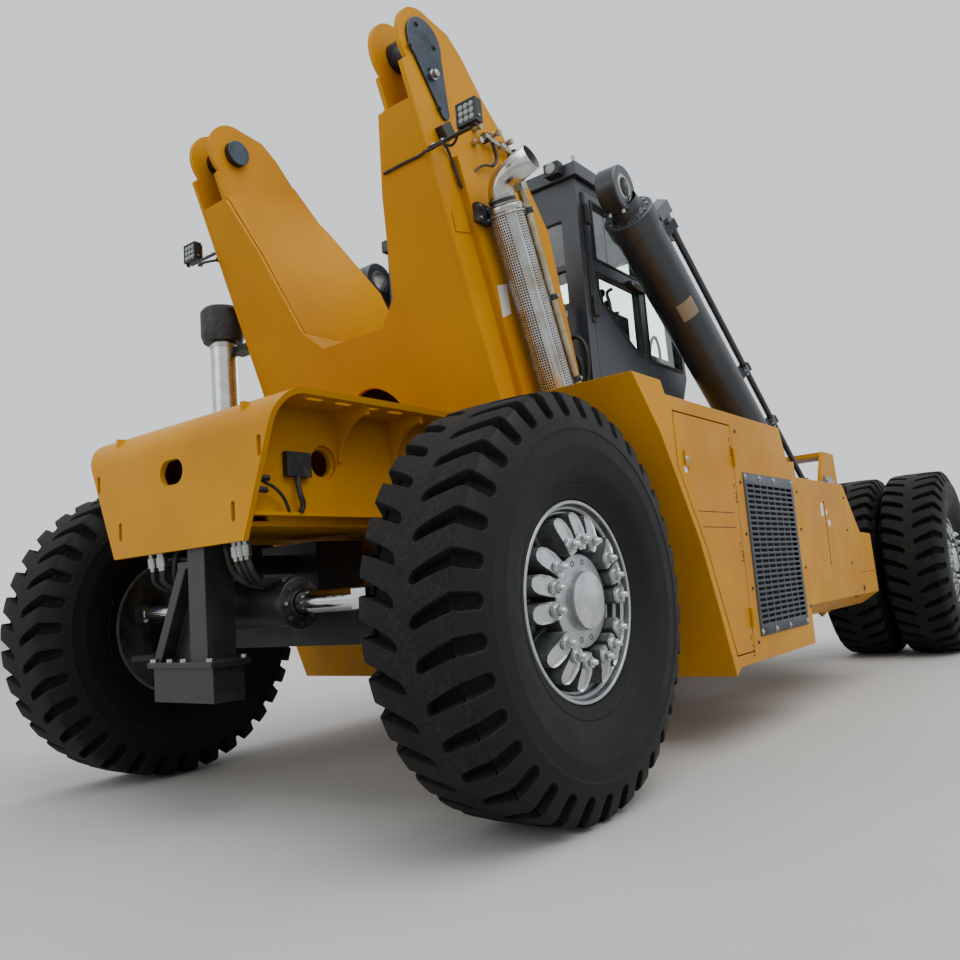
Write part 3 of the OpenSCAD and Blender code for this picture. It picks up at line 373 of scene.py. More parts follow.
# near-black that paints the shade in slots, creases, holes and behind the grilles
shadowBlack = mouldedPlastic("paintedShadeBlack", "#040404", 0.95)
hoseRubber = mouldedPlastic("hoseRubber", "#111112", 0.6, 0.006)
greyPlastic = mouldedPlastic("greyNylonConnector", "#6e747a", 0.5)
lampLens = mouldedPlastic("polycarbonateLens", "#858b8c", 0.22)
labelVinyl = mouldedPlastic("blankVinylLabel", "#d9d8d2", 0.4)
tanVinyl = mouldedPlastic("tanVinylLabel", "#8b7d66", 0.5)
castIron = greyEnamel("castIronPainted", "#3a3b3c", "#2c2d2e", 0.6)
glass = toughenedGlass()
seatCloth = wovenSeatCloth()
print("materials ready")


# Camera, floor and light

view = {
    "place": (-5.8655, -3.2576, 0.9058),
    "right": (0.61070, -0.78810, -0.07689),
    "up": (-0.05199, -0.13680, 0.98921),
    "lens": 31.97,
}
cameraData = bpy.data.cameras.new("camera")
cameraData.lens = view["lens"]
cameraData.sensor_width = 36
cameraData.clip_end = 400
camera = bpy.data.objects.new("camera", cameraData)
right, up = Vector(view["right"]).normalized(), Vector(view["up"]).normalized()
back = right.cross(up)
camera.matrix_world = Matrix.Translation(view["place"]) @ Matrix((right, up, back)).transposed().to_4x4()
bpy.context.collection.objects.link(camera)
bpy.context.scene.camera = camera

floorMaterial, floorTree, floorShader, floorPlace = newMaterial("paleFloor", "#b9b6b1", 0.85)
floorTree.links.new(mixed(floorTree, noiseOf(floorTree, floorPlace, 1.5, 6), linear("#bcb9b4"), linear("#aeaba6")),
                    floorShader.inputs["Base Color"])
bm = bmesh.new()
bmesh.ops.create_grid(bm, x_segments=1, y_segments=1, size=300)
floorMesh = bpy.data.meshes.new("floor")
bm.to_mesh(floorMesh)
bm.free()
floorMesh.materials.append(floorMaterial)
floor = bpy.data.objects.new("floor", floorMesh)
floor.location.z = -0.002
bpy.context.collection.objects.link(floor)

world = bpy.data.worlds.new("overcast")
bpy.context.scene.world = world
world.use_nodes = True
world.node_tree.nodes["Background"].inputs["Color"].default_value = linear("#dde2e7")
world.node_tree.nodes["Background"].inputs["Strength"].default_value = 1.35

lightTable = [  # name, place, size, watts: one big soft lamp overhead and to the left, two weaker fills
    ("skyPanel", (-3.0, -7.0, 13.0), 12.0, 1500),
    ("rearFill", (-13.0, 3.0, 6.0), 8.0, 250),
    ("frontFill", (11.0, 6.0, 8.0), 9.0, 800),
]
for name, place, size, watts in lightTable:
    lampData = bpy.data.lights.new(name, "AREA")
    lampData.size = size
    lampData.energy = watts
    lamp = bpy.data.objects.new(name, lampData)
    lamp.location = place
    lamp.rotation_euler = (Vector((0, 0, 1.2)) - Vector(place)).to_track_quat("-Z", "Y").to_euler()
    bpy.context.collection.objects.link(lamp)
print("camera, floor and light placed")


# Welded steelwork: the CAD plates with their cut edges broken

def softened(node, body, material, width):
    bm = bmesh.new()
    bm.from_mesh(bpy.data.objects[node].data)
    bmesh.ops.remove_doubles(bm, verts=bm.verts, dist=0.00005)
    bmesh.ops.dissolve_limit(bm, angle_limit=math.radians(0.6), use_dissolve_boundaries=False, verts=bm.verts,
                             edges=bm.edges, delimit={"NORMAL"})
    piece = newPiece("soft_" + node, body, bm, material, sharp=32, bevel=width)
    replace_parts(piece, node)


steelTable = [  # node, body, material, width of the broken edge
    ("chassis_frame", "chassis", yellow, 0.003),
    ("deck_plate", "chassis", yellow, 0.003),
    ("front_beam", "chassis", yellow, 0.003),
    ("tail_frame", "chassis", yellow, 0.004),
    ("tower_left", "chassis", yellow, 0.003),
    ("tower_right", "chassis", yellow, 0.003),
    ("tower_back", "chassis", yellow, 0.003),
    ("side_body_left", "chassis", yellow, 0.003),
    ("side_body_right", "chassis", yellow, 0.003),
    ("side_door_left", "side_door_left", yellow, 0.003),
    ("side_door_right", "side_door_right", yellow, 0.003),
    ("side_tank_left", "chassis", yellow, 0.006),
    ("side_tank_right", "chassis", yellow, 0.006),
    ("tail_post", "chassis", axleBlack, 0.004),
    ("steer_axle", "chassis", axleBlack, 0.004),
    ("knuckle_left", "knuckle_left", axleBlack, 0.005),
    ("knuckle_right", "knuckle_right", axleBlack, 0.005),
    ("drive_axle", "chassis", axleBlack, 0.005),
    ("engine_block", "chassis", castIron, 0.008),
    ("cab_floor", "chassis", cabGrey, 0.003),
    ("cab_rear_wall", "chassis", cabGrey, 0.004),
    ("cab_sides", "chassis", cabGrey, 0.004),
    ("cab_front", "chassis", cabGrey, 0.004),
    ("cab_roof", "chassis", cabGrey, 0.008),
    ("boom_pins", "chassis", pinSteel, 0.003),
    ("rear_gear", "chassis", blackPlastic, 0.004),
    ("air_cleaner", "chassis", blackPlastic, 0.004),
]
for node, body, material, width in steelTable:
    softened(node, body, material, width)


def refinished(node, material):  # the shape is right as it is and only gets its finish
    slots = bpy.data.objects[node].data.materials
    slots.clear()
    slots.append(material)


refinished("cab_glass", glass)
refinished("steer_rod", chromeRod)
print("steelwork softened")


# Tyres: one period of the tread is cut flat, wrapped on the carcass and repeated round it

tyre = {
    "radius": 0.825, "grooves": 36, "rib": 0.031, "treadEnd": 0.356, "depth": 0.052,
    "slant": 5.0, "firstTurn": 3.0, "slotInner": 0.0245, "slotOuter": 0.034, "slotEnd": 0.298, "wallFrom": 0.222,
    "profile": [(0.0, 0.0, 0.825), (0.10, 0.100, 0.8245), (0.190, 0.190, 0.820), (0.200, 0.199, 0.816),
                (0.222, 0.216, 0.801), (0.305, 0.248, 0.724), (0.356, 0.258, 0.674)],  # run, half width, radius
    "wall": [(0.258, 0.674), (0.2595, 0.670), (0.2595, 0.662), (0.257, 0.658), (0.259, 0.610), (0.260, 0.600),
             (0.260, 0.592), (0.258, 0.585), (0.252, 0.530), (0.234, 0.480), (0.212, 0.449), (0.2135, 0.444),
             (0.2085, 0.436), (0.203, 0.428), (0.191, 0.408), (0.187, 0.396), (0.165, 0.390)],  # half width, radius
}


def onProfile(run):
    table = tyre["profile"]
    for (t0, y0, r0), (t1, y1, r1) in zip(table, table[1:]):
        if run <= t1 or t1 == table[-1][0]:
            part = (run - t0) / (t1 - t0)
            slope = Vector((y1 - y0, r1 - r0)).normalized()
            return y0 + (y1 - y0) * part, r0 + (r1 - r0) * part, Vector((-slope.y, slope.x))


grooveSteps = [(0.0, 0.030), (0.07, 0.045), (0.12, tyre["depth"]), (0.21, tyre["depth"]), (0.26, 0.036),
               (0.356, 0.014)]  # run, depth


def grooveDepth(run):  # full under the tread, and shallow where the slot runs out on the side wall
    for (t0, d0), (t1, d1) in zip(grooveSteps, grooveSteps[1:]):
        if run <= t1:
            return d0 + (d1 - d0) * max(0, run - t0) / (t1 - t0)
    return grooveSteps[-1][1]


def grooveDrift(run):  # how far the groove's middle has slanted round, in degrees
    part = min(max((run - tyre["rib"]) / (0.20 - tyre["rib"]), 0), 1)
    return tyre["slant"] * part ** 0.8


def treadHalf(bm, pitch):  # one period in the flat, x is degrees round, y the run outwards, z the depth
    outline = [bm.verts.new((x, y, 0)) for x, y in ((-pitch / 2, 0), (pitch / 2, 0), (pitch / 2, tyre["treadEnd"]),
                                                    (-pitch / 2, tyre["treadEnd"]))]
    edges = [bm.edges.new((outline[i], outline[(i + 1) % 4])) for i in range(4)]
    degrees = 180 / math.pi / 0.80
    widths = [(0.100, 0.0275), (0.150, 0.0305), (0.200, 0.033), (0.250, 0.034)]
    end = tyre["slotInner"]
    inner = [(end * math.sin(a), tyre["rib"] + end * (1 - math.cos(a)))
             for a in [math.radians(v) for v in (-80, -45, -15, 15, 45, 80)]]
    outer = [(tyre["slotOuter"] * math.sin(a), tyre["slotEnd"] + 0.026 * math.cos(a))
             for a in [math.radians(v) for v in (80, 45, 15, -15, -45, -80)]]
    ring = inner + [(w, t) for t, w in widths] + outer + [(-w, t) for t, w in reversed(widths)]
    slot = [bm.verts.new((x * degrees, y, 0)) for x, y in ring]
    rim = [bm.edges.new((slot[i], slot[(i + 1) % len(slot)])) for i in range(len(slot))]
    bmesh.ops.triangle_fill(bm, use_beauty=True, use_dissolve=False, edges=edges + rim, normal=(0, 0, 1))
    floorFace = bm.faces.new(slot)
    if floorFace.normal.z < 0:
        floorFace.normal_flip()
    bmesh.ops.inset_individual(bm, faces=[floorFace], thickness=0.0, use_even_offset=False)
    for factor, drop in ((0.90, -0.10), (0.80, -1.0)):
        for vert in floorFace.verts:
            vert.co.x *= factor
            near = min(max(vert.co.y, tyre["rib"] + end), tyre["slotEnd"])
            vert.co.y = near + (vert.co.y - near) * factor
            vert.co.z = drop
        if drop > -1:
            bmesh.ops.inset_individual(bm, faces=[floorFace], thickness=0.0, use_even_offset=False)
    # groove floor and walls take the darker groove rubber: painted shade
    floorFace.material_index = 1
    for vert in floorFace.verts:
        for face in vert.link_faces:
            face.material_index = 1
    for run, _, _ in tyre["profile"][1:-1]:
        bmesh.ops.bisect_plane(bm, geom=wholeOf(bm), dist=1e-6, plane_co=(0, run, 0), plane_no=(0, 1, 0))
    for step in (-pitch / 4, 0, pitch / 4):
        bmesh.ops.bisect_plane(bm, geom=wholeOf(bm), dist=1e-6, plane_co=(step, 0, 0), plane_no=(1, 0, 0))
    for face in bm.faces:
        if face.calc_center_median().y > tyre["wallFrom"] and face.material_index == 0:
            face.material_index = 2
    for vert in bm.verts:
        run, drop = vert.co.y, vert.co.z
        along, radius, outwards = onProfile(run)
        angle = math.radians(vert.co.x + grooveDrift(run))
        sunk = grooveDepth(run) * drop
        along += outwards.x * sunk
        radius += outwards.y * sunk
        vert.co = (radius * math.sin(angle), along, radius * math.cos(angle))


def tyreMesh(centreY, centreX, turn):
    pitch = 360 / tyre["grooves"]
    bm = bmesh.new()
    treadHalf(bm, pitch)
    first = wholeOf(bm)
    bmesh.ops.spin(bm, geom=first, cent=(0, 0, 0), axis=(0, 1, 0), angle=math.radians(360 - pitch),
                   steps=tyre["grooves"] - 1, use_duplicate=True)
    steps = tyre["grooves"] * 4
    angle = math.radians(tyre["slant"])
    points = [bm.verts.new((r * math.sin(angle), y, r * math.cos(angle))) for y, r in tyre["wall"]]
    edges = [bm.edges.new(pair) for pair in zip(points, points[1:])]
    before = set(bm.faces)
    bmesh.ops.spin(bm, geom=points + edges, cent=(0, 0, 0), axis=(0, 1, 0), angle=math.tau, steps=steps,
                   use_merge=True)
    for face in bm.faces:
        if face not in before:
            face.material_index = 2
    other = bmesh.ops.duplicate(bm, geom=wholeOf(bm))["geom"]
    verts = vertsOf(other)
    faces = facesOf(other)
    bmesh.ops.transform(bm, matrix=Matrix.Rotation(math.radians(pitch / 2), 4, "Y") @ Matrix.Diagonal((1, -1, 1, 1)),
                        verts=verts)
    bmesh.ops.reverse_faces(bm, faces=faces)
    bmesh.ops.remove_doubles(bm, verts=bm.verts, dist=0.0002)
    bmesh.ops.recalc_face_normals(bm, faces=bm.faces)
    bmesh.ops.transform(bm, matrix=Matrix.Translation((centreX, centreY, tyre["radius"])) @
                        Matrix.Rotation(math.radians(turn), 4, "Y"), verts=bm.verts)
    return bm


wheelTable = [  # node, body, middle x, middles y
    ("rear_tyre_left", "rear_wheel_left", -3.0, (1.345,)),
    ("rear_tyre_right", "rear_wheel_right", -3.0, (-1.345,)),
    ("front_tyres_left", "front_wheels_left", 3.0, (1.14, 1.69)),
    ("front_tyres_right", "front_wheels_right", 3.0, (-1.14, -1.69)),
]
for node, body, middleX, middlesY in wheelTable:
    bm = bmesh.new()
    for number, middleY in enumerate(middlesY):
        single = tyreMesh(middleY, middleX, tyre["firstTurn"] + 4 * number)
        mesh = bpy.data.meshes.new("single")
        single.to_mesh(mesh)
        single.free()
        bm.from_mesh(mesh)
        bpy.data.meshes.remove(mesh)
    piece = newPiece("tread_" + node, body, bm, [treadRubber, grooveRubberShadeAndDust, wallRubber], sharp=28)
    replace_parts(piece, node)
print("tyres moulded")


# Rims: stepped rings, five groups of three clamps, hub flange and cap

rim = {
    "offset": -4.0, "clampTurn": 20.0, "studRing": 0.235,
    "seat": [(-0.185, 0.388), (-0.183, 0.385), (-0.170, 0.382), (0.170, 0.382), (0.176, 0.391), (0.183, 0.391),
             (0.1865, 0.388), (0.1865, 0.379), (0.183, 0.376), (0.160, 0.371), (0.156, 0.367), (0.156, 0.361),
             (0.153, 0.358), (0.132, 0.355), (0.128, 0.351), (0.128, 0.345), (0.125, 0.342), (0.100, 0.339),
             (0.096, 0.334), (0.096, 0.326), (0.090, 0.322), (0.078, 0.300), (0.074, 0.190)],  # along, radius
    "hub": [(0.074, 0.184), (0.150, 0.183), (0.176, 0.183), (0.181, 0.180), (0.183, 0.176), (0.183, 0.116)],
    "cap": [(0.180, 0.116), (0.186, 0.1155), (0.214, 0.112), (0.219, 0.110), (0.221, 0.106), (0.221, 0.0)],
    "back": [(-0.185, 0.388), (-0.185, 0.372), (-0.10, 0.352), (0.055, 0.345), (0.062, 0.300), (0.062, 0.0)],
    "clamp": [(0.196, 0.022), (0.214, 0.032), (0.270, 0.038), (0.310, 0.037), (0.332, 0.029), (0.343, 0.012)],
}


def clampShoe(bm, middle, axis, radial, tangent):  # cast wedge that holds the rim, and its stud and nut
    before = set(bm.faces)
    outline = [(r, w) for r, w in rim["clamp"]] + [(r, -w) for r, w in reversed(rim["clamp"])]
    ring = [bm.verts.new(middle + radial * r + tangent * w + axis * 0.098) for r, w in outline]
    made = bmesh.ops.extrude_face_region(bm, geom=[bm.faces.new(ring)], use_keep_orig=True)["geom"]
    for vert in vertsOf(made):
        reach = (vert.co - middle).dot(radial)
        vert.co += axis * (0.118 - 0.030 * max(0, (reach - 0.24) / 0.10) ** 1.5)
    crown = facesOf(made)
    bmesh.ops.inset_region(bm, faces=crown, thickness=0.007, use_even_offset=True)
    bmesh.ops.translate(bm, verts=cornersOf(crown), vec=axis * -0.006)
    # clamp faces along the axis take the bright silver, the side walls the darker silver: painted shade with dirt
    for face in bm.faces:
        if face not in before:
            face.normal_update()
            face.material_index = 1 if abs(face.normal.dot(axis)) > 0.5 else 2
    spot = middle + radial * rim["studRing"]
    addLathe(bm, spot, axis, [(0.205, 0.026), (0.219, 0.026), (0.221, 0.024), (0.221, 0.012)], 16, 1)
    addRod(bm, spot + axis * 0.215, spot + axis * 0.238, 0.0205, 6, 1)
    addRod(bm, spot + axis * 0.235, spot + axis * 0.254, 0.011, 10, 1)
    addRod(bm, spot + axis * 0.254, spot + axis * 0.257, 0.011, 10, 1, 0.008)


def rimMesh(bm, centreX, centreY, out):
    middle, axis = Vector((centreX, centreY, tyre["radius"])), Vector((0, out, 0))
    # the back of the rim takes the darker silver (finish 2): painted shade
    for part, steps, finish in (("seat", 96, 0), ("hub", 64, 0), ("cap", 64, 1), ("back", 48, 2)):
        for face in addLathe(bm, middle, axis, rim[part], steps, finish):
            face.normal_update()
            depth = (face.calc_center_median() - middle).dot(axis)
            if part != "back" and abs(face.normal.dot(axis)) < 0.6 and depth < 0.18:
                face.material_index = 2  # painted shade with dirt on the walls of the steps, in the darker silver
    for group in range(5):
        for place in (-1, 0, 1):
            angle = math.radians(group * 72 + place * rim["clampTurn"] + rim["offset"])
            clampShoe(bm, middle, axis, Vector((math.sin(angle), 0, math.cos(angle))),
                      Vector((math.cos(angle), 0, -math.sin(angle))))
        for place in (-1, 1):  # spoke webs between the groups, in the darker silver: painted shade in the gaps between them
            angle = math.radians(group * 72 + 36 + place * 9 + rim["offset"])
            radial = Vector((math.sin(angle), 0, math.cos(angle)))
            addRod(bm, middle + radial * 0.180 + axis * 0.10, middle + radial * 0.325 + axis * 0.088, 0.013, 8, 2)
    for turn in (-14, 14, 166, 194):  # screw holes of the hub flange, in pairs, in the darker silver: painted shade in the holes
        angle = math.radians(turn + rim["offset"])
        spot = middle + Vector((math.sin(angle), 0, math.cos(angle))) * 0.150
        addLathe(bm, spot, axis, [(0.183, 0.013), (0.1845, 0.012), (0.1845, 0.008), (0.175, 0.007), (0.175, 0.0)],
                 16, 2)


rimTable = [  # node, body, middle x, (middle y, outward side) of each rim
    ("rear_rim_left", "rear_wheel_left", -3.0, ((1.345, 1),)),
    ("rear_rim_right", "rear_wheel_right", -3.0, ((-1.345, -1),)),
    ("front_rims_left", "front_wheels_left", 3.0, ((1.14, -1), (1.69, 1))),
    ("front_rims_right", "front_wheels_right", 3.0, ((-1.14, 1), (-1.69, -1))),
]
for node, body, middleX, sides in rimTable:
    bm = bmesh.new()
    for middleY, out in sides:
        rimMesh(bm, middleX, middleY, out)
    piece = newPiece("cast_" + node, body, bm, [rimCast, rimBright, rimShadeAndDirt], sharp=30, normals=True)
    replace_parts(piece, node)
print("rims cast")


# Exhaust: perforated heat shield, bent tail pipe, slim pipe beside it

exhaust = {
    "foot": (-2.115, -0.98, 1.81), "lean": math.atan(0.39), "shieldRadius": 0.088, "shieldLength": 1.04,
    "holePitch": 0.0131, "pipeRadius": 0.065, "bendRadius": 0.100, "bend": 73.0, "turn": -80.0, "bandFacing": 228.0,
}
leaning = Matrix.Translation(exhaust["foot"]) @ Matrix.Rotation(-exhaust["lean"], 4, "Y")

bm = bmesh.new()  # the shield is rolled from a flat perforated sheet
columns = round(math.tau * exhaust["shieldRadius"] / exhaust["holePitch"])
rows = round((exhaust["shieldLength"] - 0.05) / exhaust["holePitch"])
bmesh.ops.create_grid(bm, x_segments=columns, y_segments=rows, size=0.5)
cells = [f for f in bm.faces if (f.calc_center_median().x + 0.5) * columns > 4]
bmesh.ops.scale(bm, vec=(columns, rows, 1), verts=bm.verts)
bmesh.ops.inset_individual(bm, faces=cells, thickness=0.24, use_even_offset=False)
bmesh.ops.delete(bm, geom=cells, context="FACES_ONLY")
for vert in bm.verts:
    angle = math.radians(exhaust["bandFacing"] - 17) + (vert.co.x / columns + 0.5) * math.tau
    height = 0.025 + (vert.co.y / rows + 0.5) * (exhaust["shieldLength"] - 0.05)
    vert.co = (exhaust["shieldRadius"] * math.cos(angle), exhaust["shieldRadius"] * math.sin(angle), height)
bmesh.ops.transform(bm, matrix=leaning, verts=bm.verts)
shield = newPiece("exhaustShield", "chassis", bm, stainless, normals=True)
thicken(shield, 0.0015)

bm = bmesh.new()
for height in (0.0, exhaust["shieldLength"] - 0.03):  # rolled end bands
    addLathe(bm, (0, 0, height), (0, 0, 1), [(0, 0.066), (0, 0.089), (0.002, 0.0905), (0.028, 0.0905), (0.030, 0.089),
                                             (0.030, 0.066)], 48, 0)
seam = math.radians(exhaust["bandFacing"])
for offset in (-0.16, 0.16):  # folded lips of the smooth band
    spot = Vector((math.cos(seam + offset), math.sin(seam + offset), 0)) * 0.0885
    addRod(bm, spot + Vector((0, 0, 0.02)), spot + Vector((0, 0, exhaust["shieldLength"] - 0.02)), 0.003, 8, 0)
addRod(bm, (0, 0, -0.10), (0, 0, exhaust["shieldLength"] + 0.03), exhaust["pipeRadius"], 40, 1)
addLathe(bm, (0, 0, exhaust["shieldLength"] - 0.004), (0, 0, 1),
         [(0, 0.065), (0, 0.069), (0.044, 0.069), (0.044, 0.065)], 48, 1)
for height in (0.006, 0.034):
    addLathe(bm, (0, 0, exhaust["shieldLength"] + height), (0, 0, 1),
             [(0, 0.069), (0.001, 0.0715), (0.009, 0.0715), (0.010, 0.069)], 48, 2)
bmesh.ops.transform(bm, matrix=leaning, verts=bm.verts)
newPiece("exhaustBands", "chassis", bm, [stainless, axleBlack, zincSteel], sharp=40)

bm = bmesh.new()  # tail pipe, spun round the bend and drawn out to the mouth
ring = bmesh.ops.create_circle(bm, cap_ends=False, radius=exhaust["pipeRadius"] + 0.001, segments=48)["verts"]
bend = bmesh.ops.spin(bm, geom=ring + bm.edges[:], cent=(exhaust["bendRadius"], 0, 0), axis=(0, 1, 0),
                      angle=math.radians(exhaust["bend"]), steps=14)["geom_last"]
last = [g for g in bend if isinstance(g, bmesh.types.BMEdge)]
pulled = bmesh.ops.extrude_edge_only(bm, edges=last)["geom"]
direction = Vector((math.sin(math.radians(exhaust["bend"])), 0, math.cos(math.radians(exhaust["bend"]))))
bmesh.ops.translate(bm, verts=vertsOf(pulled), vec=direction * 0.143)
bmesh.ops.transform(bm, matrix=leaning @ Matrix.Translation((0, 0, exhaust["shieldLength"] + 0.04)) @
                    Matrix.Rotation(math.radians(exhaust["turn"]), 4, "Z"), verts=bm.verts)
pipe = newPiece("exhaustTailPipe", "chassis", bm, [stainless, axleBlack], normals=True)
thicken(pipe, 0.003, innerSlot=1)

bm = bmesh.new()
addTube(bm, [(0.125, -0.05, 0.02), (0.125, -0.05, 0.40), (0.125, -0.05, 0.80), (0.125, -0.05, 1.155)], 0.024, 0, 6)
for height in (0.09, 0.53, 0.98):  # saddle clamps
    addLathe(bm, (0.125, -0.05, height), (0, 0, 1), [(0, 0.024), (0, 0.031), (0.03, 0.031), (0.03, 0.024)], 32, 1)
    addBox(bm, (0.055, -0.062, height), (0.10, -0.038, height + 0.03), 1)
    addRod(bm, (0.125, -0.09, height + 0.015), (0.125, -0.06, height + 0.015), 0.009, 6, 2)
addLathe(bm, (0.125, -0.05, 1.10), (0, 0, 1), [(0, 0.024), (0, 0.033), (0.035, 0.033), (0.04, 0.024)], 6, 2)
bmesh.ops.transform(bm, matrix=leaning, verts=bm.verts)
newPiece("exhaustSlimPipe", "chassis", bm, [brassPipe, axleBlack, zincSteel])

at = exhaust["shieldLength"] - 0.042
braceX = exhaust["foot"][0] - at * math.sin(exhaust["lean"])
braceZ = exhaust["foot"][2] + at * math.cos(exhaust["lean"])
bm = bmesh.new()
addBox(bm, (braceX - 0.15, -0.915, braceZ - 0.05), (braceX - 0.05, -0.884, braceZ + 0.05), 0)
addBox(bm, (braceX - 0.06, -0.905, braceZ - 0.05), (braceX - 0.052, -0.860, braceZ + 0.05), 0)
strap = [(0.0935 * math.cos(math.radians(a)), 0.0935 * math.sin(math.radians(a)), at) for a in range(-180, 181, 12)]
addTube(bm, [leaning @ Vector(p) for p in strap], 0.005, 1, 4)
for dx, dz in ((-0.13, -0.03), (-0.13, 0.03), (-0.07, -0.03), (-0.07, 0.03)):
    addRod(bm, (braceX + dx, -0.884, braceZ + dz), (braceX + dx, -0.924, braceZ + dz), 0.009, 6, 1)
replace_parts(newPiece("exhaustBracket", "chassis", bm, [blackPlastic, zincSteel], bevel=0.002), "exhaust")
print("exhaust built")


# Work lamps: finned die cast housing, bezel, nine LED lenses, each on a flat bar bracket

workLight = {"offset": 1.087, "half": 0.0575, "low": 3.0125, "high": 3.1275, "face": -2.903, "seat": -2.895}


def workLamp(side):
    bm = bmesh.new()
    y, half = side * workLight["offset"], workLight["half"]
    low, high = workLight["low"], workLight["high"]
    face, seat = workLight["face"], workLight["seat"]
    addBox(bm, (-2.899, y - half, low), (-2.853, y + half, high), 0)
    for fin in range(9):
        at = y - 0.048 + fin * 0.012
        addBox(bm, (-2.853, at - 0.002, 3.022), (-2.839, at + 0.002, 3.118), 0)
    for y0, z0, y1, z1 in ((y - half, low, y + half, 3.022), (y - half, 3.118, y + half, high),
                           (y - half, 3.022, y - 0.048, 3.118), (y + 0.048, 3.022, y + half, 3.118)):  # bezel
        addBox(bm, (face, y0, z0), (seat, y1, z1), 0)
    for row in range(3):
        for column in range(3):
            spot = (-2.899, y - 0.031 + column * 0.031, 3.039 + row * 0.031)
            addLathe(bm, spot, (-1, 0, 0), [(0, 0.0145), (0.003, 0.0140), (0.006, 0.009), (0.007, 0.0)], 12, 1)
    near, far = sorted((side * 0.842, side * 1.10))
    addBox(bm, (-2.898, near, 2.992), (-2.872, far, 2.998), 2)
    for end in (-0.045, 0.045):  # cheeks of the bracket with their screws
        addBox(bm, (-2.892, y + end - 0.003, 2.995), (-2.868, y + end + 0.003, 3.05), 2)
    addRod(bm, (-2.880, y - 0.064, 3.04), (-2.880, y + 0.064, 3.04), 0.006, 12, 3)
    for spot in (0.87, 0.93):
        addRod(bm, (-2.885, side * spot, 2.998), (-2.885, side * spot, 3.008), 0.010, 6, 3)
    return newPiece("workLamp" + sideName(side), "chassis", bm,
                    [blackPlastic, lampLens, axleBlack, zincSteel], bevel=0.0015)


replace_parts(workLamp(1), "work_lamps")
workLamp(-1)


# Side grilles: a pressed steel sheet with rows of slots, screwed on over a black backing that paints the shade behind
# the slots

grille = {"low": (-1.324, 0.532), "high": (-0.500, 1.416), "columns": 7, "rows": 26, "face": 1.603}


def sideGrille(side):
    (x0, z0), (x1, z1) = grille["low"], grille["high"]
    y = side * grille["face"]
    bm = bmesh.new()
    made = bmesh.ops.create_grid(bm, x_segments=grille["columns"], y_segments=grille["rows"], size=0.5)["verts"]
    width, height = x1 - x0 - 0.06, z1 - z0 - 0.11
    bmesh.ops.transform(bm, matrix=Matrix.Translation(((x0 + x1) / 2, y, (z0 + z1) / 2)) @
                        Matrix.Rotation(math.radians(90), 4, "X") @ Matrix.Diagonal((width, height, 1, 1)), verts=made)
    cells = bm.faces[:]
    bmesh.ops.inset_individual(bm, faces=cells, thickness=0.0062, use_even_offset=True)
    corners = cornersOf(cells)
    bmesh.ops.delete(bm, geom=cells, context="FACES_ONLY")
    bmesh.ops.bevel(bm, geom=corners, offset=0.004, offset_type="OFFSET", segments=1, profile=0.5,
                    affect="VERTICES", material=-1)
    border = [e for e in bm.edges if e.is_boundary and
              all(abs(v.co.x - (x0 + x1) / 2) > width / 2 - 1e-4 or abs(v.co.z - (z0 + z1) / 2) > height / 2 - 1e-4
                  for v in e.verts)]
    frameEdges = bmesh.ops.extrude_edge_only(bm, edges=border)["geom"]
    for vert in vertsOf(frameEdges):
        vert.co.x = (x0 + x1) / 2 + (vert.co.x - (x0 + x1) / 2) * (x1 - x0) / width
        vert.co.z = (z0 + z1) / 2 + (vert.co.z - (z0 + z1) / 2) * (z1 - z0) / height
    sheet = newPiece("grilleSheet" + sideName(side), "chassis", bm, grilleGrey, normals=True)
    thicken(sheet, 0.004, 0)
    bm = bmesh.new()
    # black backing and its border strips: painted shade seen through the slots and round the sheet
    near, far = sorted((side * 1.570, side * 1.580))
    addBox(bm, (x0 + 0.01, near, z0 + 0.01), (x1 - 0.01, far, z1 - 0.01), 0)
    near, far = sorted((side * 1.576, side * 1.601))
    for a, b in (((x0, z0), (x1, z0 + 0.012)), ((x0, z1 - 0.012), (x1, z1)), ((x0, z0), (x0 + 0.012, z1)),
                 ((x1 - 0.012, z0), (x1, z1))):
        addBox(bm, (a[0], near, a[1]), (b[0], far, b[1]), 0)
    for part in (0.03, 0.30, 0.58, 0.97):
        for z in (z0 + 0.022, z1 - 0.022):
            spot = x0 + (x1 - x0) * part
            addLathe(bm, (spot, side * 1.604, z), (0, side, 0),
                     [(0, 0.017), (0.002, 0.017), (0.003, 0.010), (0.008, 0.009), (0.010, 0.006), (0.010, 0)], 12, 1)
    return newPiece("grilleBack" + sideName(side), "chassis", bm, [shadowBlack, zincSteel])


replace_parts(sideGrille(-1), "grilles")
sideGrille(1)
print("lamps and grilles built")


# Lift cylinders: painted rod eye with its bearing, gland, clamps and pipe fittings

lift = {"foot": (1.45, 1.03, 1.2), "lean": 36.0, "length": 3.46, "rodRadius": 0.100, "eyeRadius": 0.140,
        "eyeWidth": 0.130, "bore": 0.060, "pipeTurn": 31.0, "pipeOff": 0.233}


def liftFrame(side):  # Z runs from the foot to the rod eye
    lean = math.radians(lift["lean"])
    up = Vector((-math.cos(lean), 0, math.sin(lean)))
    across = Vector((0, 1, 0))
    matrix = Matrix((across.cross(up), across, up)).transposed().to_4x4()
    return Matrix.Translation((lift["foot"][0], side * lift["foot"][1], lift["foot"][2])) @ matrix


